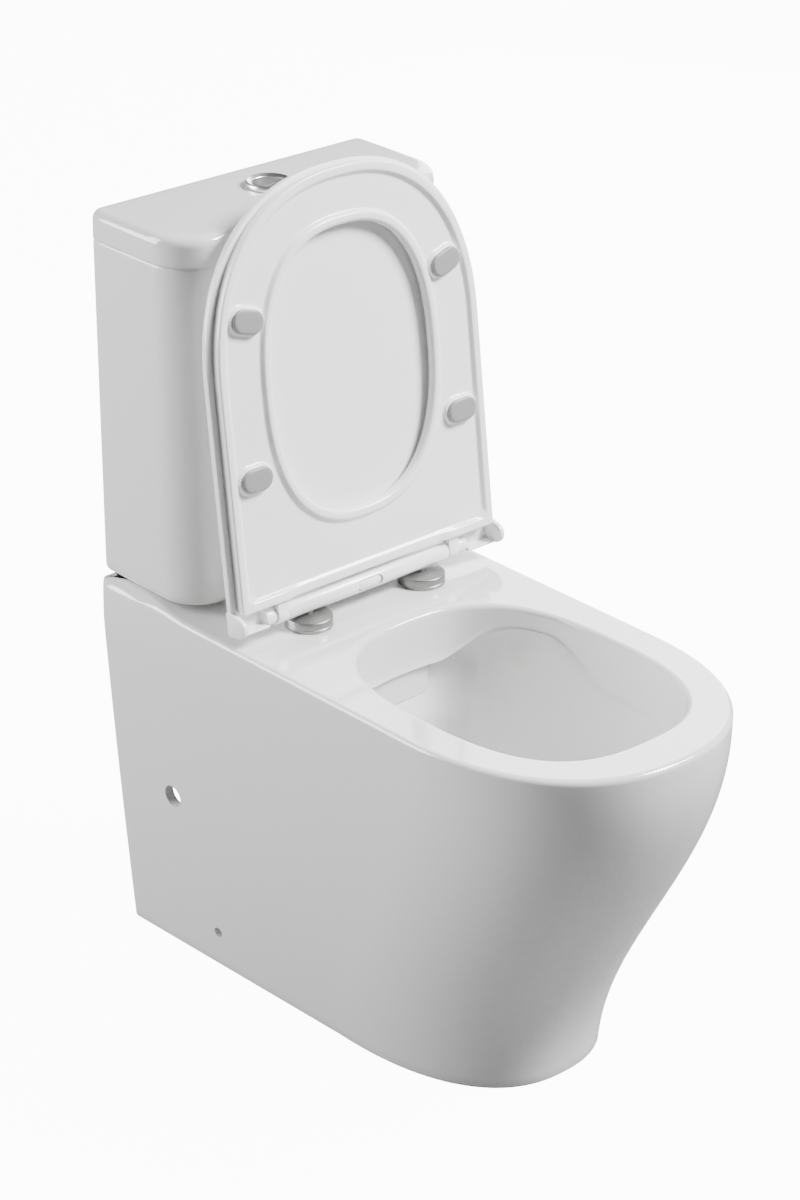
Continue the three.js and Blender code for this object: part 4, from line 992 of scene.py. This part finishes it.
def make_tank_lid():
    """The tank lid: rounded top edge, hollow underside, and a rib that drops into the tank."""
    tank, wall_y = sizes("toilet_tank"), sizes("toilet_pan").wall_y
    low = tank.top + GAP
    high = low + tank.lid_height
    corner = tank.corner + tank.lid_depth - tank.depth

    def ring(inset, z):
        return at_height(box_ring(
            tank.lid_half - inset, wall_y - tank.lid_depth + inset, wall_y - inset,
            max(corner - inset, 3), max(tank.lid_back_corner - inset, 2), BOX_COUNTS,
        ), z)

    rib_half = tank.half_top - tank.wall - 1

    def rib(inset, z):
        return at_height(box_ring(
            rib_half - inset, wall_y - tank.depth + tank.wall + 1 + inset,
            wall_y - tank.wall - 1 - inset, tank.corner - tank.wall - 1 - inset, 3,
            BOX_COUNTS,
        ), z)

    rows = [ring(60, high), ring(24, high)]
    rows += [ring(inward, high - down) for inward, down in quarter(tank.lid_edge, 10)[::-1]]
    rows += [ring(0, z) for z in np.linspace(high - tank.lid_edge - 4, low + 4, 4)]
    rows += [ring(inward, low + down) for inward, down in quarter(2.5, 6)]
    rows += [rib(0, low), rib(0, low - 9), rib(1, low - 10), rib(4, low - 10), rib(5, low - 9)]
    rows += [rib(5, high - tank.lid_plate), rib(30, high - tank.lid_plate)]
    flush_y = wall_y - tank.axis_from_wall
    steps = [("DIFFERENCE", rod(0, flush_y, low - 20, high + 20, tank.lid_hole, 72))]
    made = combine(make_object("tank_lid_china", surface(rows)), *steps)
    finish_piece(made, "china", "tank_lid", "tank_lid")


def make_bezel():
    """Dished chrome ring around the push buttons, with its stem through the lid."""
    tank, wall_y = sizes("toilet_tank"), sizes("toilet_pan").wall_y
    low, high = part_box("button_bezel")
    base, top = low.z * 1000, high.z * 1000
    lid_top = tank.top + GAP + tank.lid_height
    r = tank.bezel
    profile = [
        (tank.stem, base + 0.5), (tank.stem, lid_top + GAP), (r - 1.2, lid_top + GAP),
        (r - 0.3, lid_top + 0.8), (r, lid_top + 2), (r - 0.2, top - 1.6), (r - 0.9, top - 0.5),
        (r - 1.9, top), (r - 2.9, top - 0.35), (r - 3.9, top - 1.2), (r - 5.2, top - 1.75),
        (tank.bore + 0.5, top - 1.95), (tank.bore, top - 2.5), (tank.bore, base + 0.5),
    ]
    made = make_object("bezel", turned(profile, 0, wall_y - tank.axis_from_wall, 128, True))
    finish_piece(made, "chrome", "tank_lid", "button_bezel")


def make_buttons():
    """Two push buttons: a lens-shaped one in front and the rest of the disc behind it."""
    tank, wall_y = sizes("toilet_tank"), sizes("toilet_pan").wall_y
    flush_y = wall_y - tank.axis_from_wall
    low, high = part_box("full_flush_button")
    low, high = low.z * 1000, high.z * 1000
    lens_y = flush_y - tank.lens_front - tank.lens
    disc = []
    for inward, down in [(0, high - low)] + quarter(1.2, 6).tolist():
        disc.append((tank.face - inward, high - down))
    disc += [(tank.face * 0.7, high - 0.35), (tank.face * 0.35, high - 0.55), (0.5, high - 0.6)]
    groove = [(tank.lens, low - 5), (tank.lens, high - 0.9), (tank.lens - 0.5, high + 3)]
    notch = [(tank.lens + 0.6, low - 5), (tank.lens + 0.6, high - 0.9),
             (tank.lens + 1.1, high + 3)]
    half = combine(
        make_object("half_button", turned(disc, 0, flush_y, 128)),
        ("INTERSECT", turned(groove, 0, lens_y, 200)),
    )
    full = combine(
        make_object("full_button", turned(disc, 0, flush_y, 128)),
        ("DIFFERENCE", turned(notch, 0, lens_y, 200)),
    )
    finish_piece(half, "chrome", "half_flush_button", "half_flush_button")
    finish_piece(full, "chrome", "full_flush_button", "full_flush_button")


# ------------------------------------------------------------------ seat


def plan_ring(seat, half, reach, inset, corner=4.0):
    """Outline of the lid or the ring, closed, as (x, -ahead)."""
    return nose_ring(
        -seat.rear - inset, half - inset, max(corner, 0.8), half - inset,
        -(reach - seat.nose), -(reach - inset), seat.power, SEAT_COUNTS,
    )


def ring_skin(seat, hinge):
    """Skin of the seat ring as a loop of rows round its section.

    The section runs up the hole's wall, over the rounded inner lip, through the
    channel, over the outer lip and back along the flat top. Between the
    knuckles its depth shrinks towards the axle, which clears the hinge caps.
    """
    top, under = seat.ring_top, seat.ring_under
    floor = under + seat.channel
    outer_corner = 5.0
    outer = plan_ring(seat, seat.ring_half, seat.ring_length, 0, outer_corner)
    count = len(outer)

    def hole(grow, h):
        return at_height(super_ring(
            seat.open_half_width + grow, seat.open_half_length + grow, -seat.open_centre,
            seat.open_power, count,
        ), h)

    def edge(inset, h):
        corner = lerp(outer_corner, 19.0, np.clip((inset - seat.lip + 3) / 6, 0, 1))
        return at_height(plan_ring(
            seat, seat.ring_half, seat.ring_length, inset, corner - min(inset, 3)), h)

    rows = [hole(2.4, top), hole(0.8, top - 0.7), hole(0, top - 2.2), hole(0, under + 6)]
    round_lip = quarter(4.5, 8)
    rows += [hole(inward, under + down) for inward, down in round_lip]
    lip = seat.lip
    s_curve = [(t, ease(t)) for t in np.linspace(0, 1, 9)]
    rows.append(hole(lip - 3.4, under))
    rows += [hole(lip - 2 + 5 * t, lerp(under, floor, e)) for t, e in s_curve]
    inner_row, outer_row = hole(lip + 4, floor), edge(lip + 4, floor)
    rows += [lerp(inner_row, outer_row, t) for t in np.linspace(0, 1, 10)]
    rows += [edge(lip + 3 - 5 * t, lerp(floor, under, e)) for t, e in s_curve]
    rows.append(edge(lip / 2, under))
    rows += [edge(inward, under + down) for inward, down in quarter(2.0, 6)[::-1]]
    rows.append(edge(0, top - 3))
    rows += [edge(inward, top - down) for inward, down in quarter(1.0, 4)]
    rows += [lerp(rows[-1], rows[0], t) for t in (0.35, 0.7)]
    rows = np.array(rows)
    ahead = -rows[..., 1]
    share = np.interp(ahead, [15.0, 27.7, 56.3], [0.66, 0.715, 1.0])
    near = ease((hinge.barrel_half - np.abs(rows[..., 0])) / 8)
    rows[..., 2] = top + (rows[..., 2] - top) * (1 - near * (1 - share))
    return surface(rows, ring=True)


def hull(points):
    """Convex outline of flat points, counter-clockwise."""
    points = sorted(map(tuple, np.round(np.asarray(points, float), 5)))

    def chain(items):
        out = []
        for p in items:
            while len(out) > 1 and (
                (out[-1][0] - out[-2][0]) * (p[1] - out[-2][1])
                - (out[-1][1] - out[-2][1]) * (p[0] - out[-2][0])
            ) <= 0:
                out.pop()
            out.append(p)
        return out[:-1]

    return np.array(chain(points) + chain(points[::-1]))


def circle(radius, y=0.0, z=0.0, sides=56):
    """Points of a circle."""
    t = np.linspace(0, 2 * math.pi, sides, endpoint=False)
    return np.column_stack([y + radius * np.cos(t), z + radius * np.sin(t)])


def boss_skin(seat, x, ahead, turn):
    """Low mound under a bumper: a bar with round ends and a hollow fillet at its foot."""
    floor = seat.ring_under + seat.channel
    face = floor - seat.boss_height
    rows = []
    for grow, h in ((4, floor + 2), (4.6, floor - 0.05), (3.2, floor - 0.5), (2.3, floor - 1.4),
                    (1.9, floor - 2.4), (1.5, face + 0.35), (0.9, face + 0.08), (0, face)):
        rows.append(at_height(capsule_ring(
            seat.pad_half_length, seat.pad_half_width, grow, x, -ahead, turn), h))
    return surface(rows)


def bumper_places(seat):
    """Hand, row, x, distance ahead and turn of the four bumpers."""
    for hand, side in (("left", -1), ("right", 1)):
        yield hand, "front", side * seat.side_front, seat.ahead_front, -side * seat.turn
        yield hand, "back", side * seat.side_back, seat.ahead_back, 0.0


def make_seat_ring():
    """The seat ring with its bosses and its two knuckles."""
    seat, hinge = sizes("toilet_seat"), sizes("toilet_hinge")
    steps = []
    for _, _, x, ahead, turn in bumper_places(seat):
        steps.append(("UNION", tilt(boss_skin(seat, x, ahead, turn), seat)))
    start = hinge.barrel_half + 0.5
    web = circle(hinge.knuckle)
    reach, high, low = -20, seat.ring_top - 0.2, -10.5
    arm = [(reach, high), (reach, low), (0, low), (0, high)]
    for side in (-1, 1):
        x0, x1 = span(side, start, start + hinge.knuckle_width)
        steps.append(("UNION", tilt(crosswise(web, x0, x1, 0.7), seat)))
        steps.append(("UNION", tilt(crosswise(arm, x0, x1), seat)))
        x0, x1 = span(side, start - 3, start + hinge.knuckle_width + 3)
        steps.append(("DIFFERENCE", tilt(crosswise(circle(hinge.damper + 0.3), x0, x1), seat)))
    made = combine(make_object("ring", tilt(ring_skin(seat, hinge), seat)), *steps)
    finish_piece(made, "seat_plastic", "seat_ring", "seat_ring")


def make_seat_lid():
    """The seat lid: thin shell with D-shaped ears, knuckles and a curled cover."""
    seat, hinge = sizes("toilet_seat"), sizes("toilet_hinge")
    top, under = seat.lid_top, seat.lid_under

    def ring(inset, h):
        return at_height(plan_ring(seat, seat.lid_half, seat.lid_length, inset,
                                   5.0 - min(inset, 4)), h)

    rows = [ring(70, top), ring(20, top)]
    rows += [ring(inward, top - down) for inward, down in quarter(3.2, 8)[::-1]]
    rows += [ring(inward, under + down) for inward, down in quarter(0.6, 4)]
    skin = top - seat.lid_skin
    rows += [ring(12, under), ring(13, under + 0.3), ring(14, skin - 0.6), ring(16, skin)]
    rows.append(ring(60, skin))
    back, front = 7.3, -18
    inside = back - hinge.cover
    ear = hull(np.vstack([
        circle(hinge.ear, -hinge.ear_ahead, -hinge.ear_drop, 80),
        [(back, top), (front, top), (front, under), (back, -hinge.ear_drop)],
    ]))
    ear = resample(np.vstack([ear, ear[:1]]), 121)[:-1]
    wall = [(back, top), (front, top), (front, top - hinge.cover), (inside, top - hinge.cover),
            (inside, -hinge.cover_depth), (back, -hinge.cover_depth)]
    arm = [(0, top), (front, top), (front, under), (0, under)]
    steps = []
    for side in (-1, 1):
        x0, x1 = span(side, seat.lid_half - hinge.ear_thick, seat.lid_half)
        steps.append(("UNION", tilt(crosswise(ear, x0, x1, 0.8), seat)))
        x0, x1 = span(side, hinge.collar_end - 0.3, seat.lid_half - hinge.ear_thick + 0.4)
        steps.append(("UNION", tilt(crosswise(rounded(wall, 0.8), x0, x1), seat)))
        x0, x1 = span(side, hinge.collar_start, hinge.collar_end)
        steps.append(("UNION", tilt(crosswise(circle(hinge.collar), x0, x1, 0.5), seat)))
        steps.append(("UNION", tilt(crosswise(arm, x0, x1), seat)))
        x0, x1 = span(side, hinge.collar_start - 3, hinge.collar_end - 2)
        steps.append(("DIFFERENCE", tilt(crosswise(circle(hinge.pin + 0.4), x0, x1), seat)))
    made = combine(make_object("lid", tilt(surface(rows), seat)), *steps)
    finish_piece(made, "seat_plastic", "seat_lid", "seat_lid")


def make_bumpers():
    """Four soft pads with rounded faces under the seat ring."""
    seat = sizes("toilet_seat")
    root = seat.ring_under + seat.channel - seat.boss_height - GAP
    for hand, row, x, ahead, turn in bumper_places(seat):
        rows = []
        for inward, depth in ((0.8, 0), (0.2, 0.25), (0, 0.8), (0, 1.8), (0.25, 2.6),
                              (0.8, 3.2), (1.8, 3.55), (3.5, 3.7), (7, 3.7)):
            rows.append(at_height(capsule_ring(
                seat.pad_half_length, seat.pad_half_width, -inward, x, -ahead, turn,
            ), root - depth * seat.pad_thick / 3.7))
        made = make_object(f"bumper_{row}_{hand}", tilt(surface(rows), seat))
        finish_piece(made, "bumper_grey", "seat_ring", f"ring_bumper_{row}_{hand}")


# ------------------------------------------------------------------ hinge


def pill(half_length, half_height, y, grow=0.0):
    """Upright bar with round ends in the plane across the view, at a depth y."""
    flat = capsule_ring(half_length, half_height, grow, 0, 0, 0, 96)
    return np.column_stack([flat[:, 0], np.full(len(flat), y), flat[:, 1]])


def make_hinge():
    """The barrel with its pocket, the release button and the two brushed caps."""
    seat, hinge = sizes("toilet_seat"), sizes("toilet_hinge")
    half = hinge.barrel_half
    y, z = seat.axle_y, seat.axle_z
    centre = np.array([0, 0, z])
    pocket = surface([
        pill(hinge.button_half + 1.0, hinge.button_height + 1.0, y - 15) + centre,
        pill(hinge.button_half + 0.4, hinge.button_height + 0.4, y - hinge.barrel + 1) + centre,
        pill(hinge.button_half + 0.4, hinge.button_height + 0.4, y - 4) + centre,
    ])
    steps = [("DIFFERENCE", pocket)]
    for side in (-1, 1):
        x0, x1 = span(side, half - 12, half + 3)
        steps.append(("DIFFERENCE", crosswise(
            circle(hinge.damper + 0.3, y, z), x0, x1)))
        x = side * hinge.spread
        steps.append(("DIFFERENCE", rod(x, hinge.cap_y, z - 20, z + 6, hinge.post + 0.4, 24)))
    made = make_object("barrel", crosswise(circle(hinge.barrel, y, z, 88), -half, half, 0.8))
    finish_piece(combine(made, *steps), "seat_plastic", "hinge_barrel", "hinge_barrel")
    low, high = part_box("release_button")
    front, back = low.y * 1000, high.y * 1000
    h = hinge.button_height
    rows = []
    for inward, depth in ((0, back), (0, front + 1.7), (0.25, front + 1.3), (0.8, front + 1.05),
                          (2.0, front + 0.75), (3.4, front + 0.35), (4.4, front + 0.02)):
        rows.append(pill(hinge.button_half - 1.3 - inward, h - 0.9 - inward, depth) + centre)
    button = make_object("release", surface(rows))
    finish_piece(button, "seat_plastic", "release_button", "release_button")
    for hand, side in (("left", -1), ("right", 1)):
        make_cap(hinge, f"hinge_cap_{hand}", side * hinge.spread, hand)


def make_cap(hinge, node, x, hand):
    """Round cover: straight side, a small step, then a low cone turned to a fine brushing."""
    low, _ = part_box(node)
    base = low.z * 1000
    edge = base + hinge.cap_height - 0.7
    r, hole = hinge.cap_radius, hinge.post + 0.4
    cone = [(lerp(r - 1.7, hole + 0.3, t), lerp(edge, hinge.cap_top, t))
            for t in np.linspace(0, 1, 14)]
    profile = [
        (r - 1.5, base), (r - 0.2, base), (r, base + 0.3), (r, base + 3.2), (r - 0.35, base + 3.6),
        (r - 0.35, edge - 1.2), (r - 0.6, edge - 0.5), (r - 1.1, edge - 0.1), *cone,
        (hole, hinge.cap_top - 0.3), (hole, hinge.cap_top - 1.5), (r - 1.8, edge - 1.8),
    ]
    made = make_object(f"cap_{hand}", turned(profile, x, hinge.cap_y, 160, True))
    mesh = made.data
    points = np.empty(len(mesh.vertices) * 3)
    mesh.vertices.foreach_get("co", points)
    points = points.reshape(-1, 3)
    distance = np.hypot(points[:, 0] - x * 0.001, points[:, 1] - hinge.cap_y * 0.001)
    mesh.attributes.new("lathe_radius", "FLOAT", "POINT").data.foreach_set("value", distance)
    finish_piece(made, "brushed_nickel", frame["nodes"][node]["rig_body"], node)


# ------------------------------------------------------------------ other parts


SLOT_WORDS = (
    ("black_rubber", ("seal", "gasket", "plug")),
    ("steel", ("bolt", "post", "spring", "washer")),
    ("valve_blue", ("core", "float", "key")),
    ("seat_plastic", ("hinge", "damper")),
    ("bumper_grey", ("buffer",)),
)


def slot_for(name):
    """The finish of a CAD node that is shown as it is, from the words in its name."""
    for slot, words in SLOT_WORDS:
        if any(word in name for word in words):
            return slot
    return "valve_white"


def dress_inner_nodes():
    """Gives every CAD node that stays in sight its material."""
    for name, made in frame["nodes"].items():
        if made.hide_render:
            continue
        slot = slot_for(name)
        made.data.materials.clear()
        made.data.materials.append(finish_of(slot))


# ------------------------------------------------------------------ stage


def stage_material(name, rgb, glow):
    """Matt material of the studio, lifted to near white where the camera sees it, except under the
    pan, where it is left dark as painted shade.
    """
    material = bpy.data.materials.new(name)
    material.use_nodes = True
    tree = material.node_tree
    shader = tree.nodes["Principled BSDF"]
    shader.inputs["Base Color"].default_value = (*rgb, 1.0)
    shader.inputs["Roughness"].default_value = 0.9
    shader.inputs["Specular IOR Level"].default_value = 0.0
    shader.inputs["Emission Color"].default_value = (1.0, 1.0, 1.0, 1.0)
    path = make_node(tree, "ShaderNodeLightPath")
    lift = maths(tree, "MULTIPLY", path.outputs["Is Camera Ray"], outside_pan(tree, glow))
    link(tree, lift, shader.inputs["Emission Strength"])
    return material


def outside_pan(tree, glow):
    """Socket that is the glow outside the pan's foot and nothing under the pan, which leaves the
    floor there dark as painted shade, seen through the pan's side holes.

    It is the larger of the two distances from the foot's middle, each over its
    half size, ramped from 0 just inside the foot to the glow at its edge.
    """
    low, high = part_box("pan")
    middle = (low + high) / 2
    place = make_node(tree, "ShaderNodeTexCoord")
    axes = make_node(tree, "ShaderNodeSeparateXYZ")
    link(tree, place.outputs["Object"], axes.inputs[0])
    reaches = []
    for axis, centre, half in zip("XY", (middle.x, middle.y + FOOT_BACK), FOOT_HALF):
        away = maths(tree, "SUBTRACT", axes.outputs[axis], centre)
        reaches.append(maths(tree, "DIVIDE", maths(tree, "ABSOLUTE", away), half))
    larger = maths(tree, "MAXIMUM", *reaches)
    ramp = make_node(tree, "ShaderNodeMapRange")
    for key, value in (("From Min", 0.9), ("From Max", 1.0), ("To Min", 0.0), ("To Max", glow)):
        ramp.inputs[key].default_value = value
    link(tree, larger, ramp.inputs["Value"])
    return ramp.outputs["Result"]


def make_floor(stage):
    """Pale round floor whose rim curves up into a backdrop on every side, as one sheet."""
    reach = stage.floor_size / 2
    bend = stage.floor_bend
    line = [(t * (reach - bend), 0.0) for t in np.linspace(0.02, 1, 24)]
    line += [(reach - bend * (1 - math.sin(t)), bend * (1 - math.cos(t)))
             for t in np.linspace(0, math.pi / 2, 20)[1:]]
    line.append((reach, reach))
    turn = np.linspace(0, 2 * math.pi, 96, endpoint=False)
    points = [(r * math.cos(t), r * math.sin(t), z - 0.4) for r, z in line for t in turn]
    points.append((0.0, 0.0, -0.4))
    columns = len(turn)
    faces = [[r * columns + c, r * columns + (c + 1) % columns,
              (r + 1) * columns + (c + 1) % columns, (r + 1) * columns + c]
             for r in range(len(line) - 1) for c in range(columns)]
    faces += [[(c + 1) % columns, c, len(points) - 1] for c in range(columns)]
    faces = [face[::-1] for face in faces]
    made = make_object("studio_floor", (np.array(points), faces))
    made.data.shade_smooth()
    made.data.materials.append(
        stage_material("studio", sizes("toilet_looks").studio, stage.glow))


def add_light(name, power, size, place):
    """Soft square light at a place in metres, turned to the middle of the toilet."""
    lamp = bpy.data.lights.new(name, "AREA")
    lamp.shape = "RECTANGLE"
    lamp.size, lamp.size_y = size
    lamp.energy = power
    made = bpy.data.objects.new(name, lamp)
    made.location = place
    made.rotation_euler = (Vector(LIGHT_AIM) - Vector(place)).to_track_quat("-Z", "Y").to_euler()
    bpy.context.scene.collection.objects.link(made)


def make_camera(stage):
    """Camera at its azimuth, elevation and roll round the target."""
    az, el = stage.azimuth, stage.elevation
    back = Vector((math.sin(az) * math.cos(el), -math.cos(az) * math.cos(el), math.sin(el)))
    data = bpy.data.cameras.new("Camera")
    data.sensor_fit = "AUTO"
    data.sensor_width = 36.0
    data.lens = stage.lens
    data.shift_x, data.shift_y = stage.shift_x, stage.shift_y
    data.clip_end = 100.0
    made = bpy.data.objects.new("Camera", data)
    target = Vector(stage.target)
    made.location = target + back * stage.distance * 0.001
    made.rotation_euler = (-back).to_track_quat("-Z", "Y").to_euler()
    made.rotation_euler.rotate_axis("Z", stage.roll)
    bpy.context.scene.collection.objects.link(made)
    bpy.context.scene.camera = made


def make_stage():
    """Floor, lights, surrounding light and camera."""
    stage = sizes("toilet_stage")
    make_floor(stage)
    for name, (size, place) in LIGHTS.items():
        add_light(name.title(), getattr(stage, f"{name}_power"), size, place)
    world = bpy.data.worlds.new("Studio")
    world.use_nodes = True
    background = world.node_tree.nodes["Background"]
    background.inputs["Color"].default_value = (1.0, 1.0, 1.0, 1.0)
    background.inputs["Strength"].default_value = stage.world
    bpy.context.scene.world = world
    make_camera(stage)


# ------------------------------------------------------------------ operators


class TOILET_OT_stage(bpy.types.Operator):
    """Floor, lights and camera"""

    bl_idname = "toilet.stage"
    bl_label = "Build stage"

    def execute(self, context):
        make_stage()
        return {"FINISHED"}


class TOILET_OT_pan(bpy.types.Operator):
    """China pan with its bowl and trapway"""

    bl_idname = "toilet.pan"
    bl_label = "Build pan"

    def execute(self, context):
        make_pan()
        return {"FINISHED"}


class TOILET_OT_tank(bpy.types.Operator):
    """China tank"""

    bl_idname = "toilet.tank"
    bl_label = "Build tank"

    def execute(self, context):
        make_tank()
        return {"FINISHED"}


class TOILET_OT_tank_lid(bpy.types.Operator):
    """China tank lid"""

    bl_idname = "toilet.tank_lid"
    bl_label = "Build tank lid"

    def execute(self, context):
        make_tank_lid()
        return {"FINISHED"}


class TOILET_OT_buttons(bpy.types.Operator):
    """Chrome bezel and the two push buttons"""

    bl_idname = "toilet.buttons"
    bl_label = "Build push buttons"

    def execute(self, context):
        make_bezel()
        make_buttons()
        return {"FINISHED"}


class TOILET_OT_seat_ring(bpy.types.Operator):
    """Seat ring with its bosses and knuckles"""

    bl_idname = "toilet.seat_ring"
    bl_label = "Build seat ring"

    def execute(self, context):
        make_seat_ring()
        return {"FINISHED"}


class TOILET_OT_seat_lid(bpy.types.Operator):
    """Seat lid with its ears and cover"""

    bl_idname = "toilet.seat_lid"
    bl_label = "Build seat lid"

    def execute(self, context):
        make_seat_lid()
        return {"FINISHED"}


class TOILET_OT_bumpers(bpy.types.Operator):
    """Soft pads under the seat ring"""

    bl_idname = "toilet.bumpers"
    bl_label = "Build bumpers"

    def execute(self, context):
        make_bumpers()
        return {"FINISHED"}


class TOILET_OT_hinge(bpy.types.Operator):
    """Hinge barrel, release button and caps"""

    bl_idname = "toilet.hinge"
    bl_label = "Build hinge"

    def execute(self, context):
        make_hinge()
        return {"FINISHED"}


class TOILET_OT_inner_parts(bpy.types.Operator):
    """Materials of the valves, bolts and seals"""

    bl_idname = "toilet.inner_parts"
    bl_label = "Dress inner parts"

    def execute(self, context):
        dress_inner_nodes()
        return {"FINISHED"}


OPERATORS = (
    TOILET_OT_stage, TOILET_OT_pan, TOILET_OT_tank, TOILET_OT_tank_lid, TOILET_OT_buttons,
    TOILET_OT_seat_lid, TOILET_OT_seat_ring, TOILET_OT_bumpers, TOILET_OT_hinge,
    TOILET_OT_inner_parts,
)


class TOILET_PT_panel(bpy.types.Panel):
    """Sizes, colours and build steps of the toilet"""

    bl_idname = "TOILET_PT_panel"
    bl_label = "Toilet"
    bl_space_type = "VIEW_3D"
    bl_region_type = "UI"
    bl_category = "Toilet"

    def draw(self, context):
        layout = self.layout
        for name in PROPERTIES:
            group = getattr(context.scene, name)
            box = layout.box()
            for key in type(group).__annotations__:
                box.prop(group, key)
        for operator in OPERATORS:
            layout.operator(operator.bl_idname)


def register():
    """Registers the classes and hangs the property groups on the scene."""
    for group in (*PROPERTIES.values(), *OPERATORS, TOILET_PT_panel):
        bpy.utils.register_class(group)
    for name, group in PROPERTIES.items():
        setattr(bpy.types.Scene, name, PointerProperty(type=group))


def unregister():
    """Takes the property groups and the classes away again."""
    for name in PROPERTIES:
        delattr(bpy.types.Scene, name)
    for group in (TOILET_PT_panel, *reversed(OPERATORS), *reversed(PROPERTIES.values())):
        bpy.utils.unregister_class(group)


def main():
    """Builds everything."""
    register()
    for operator in OPERATORS:
        getattr(bpy.ops.toilet, operator.bl_idname.split(".")[1])()


if __name__ == "__main__":
    main()
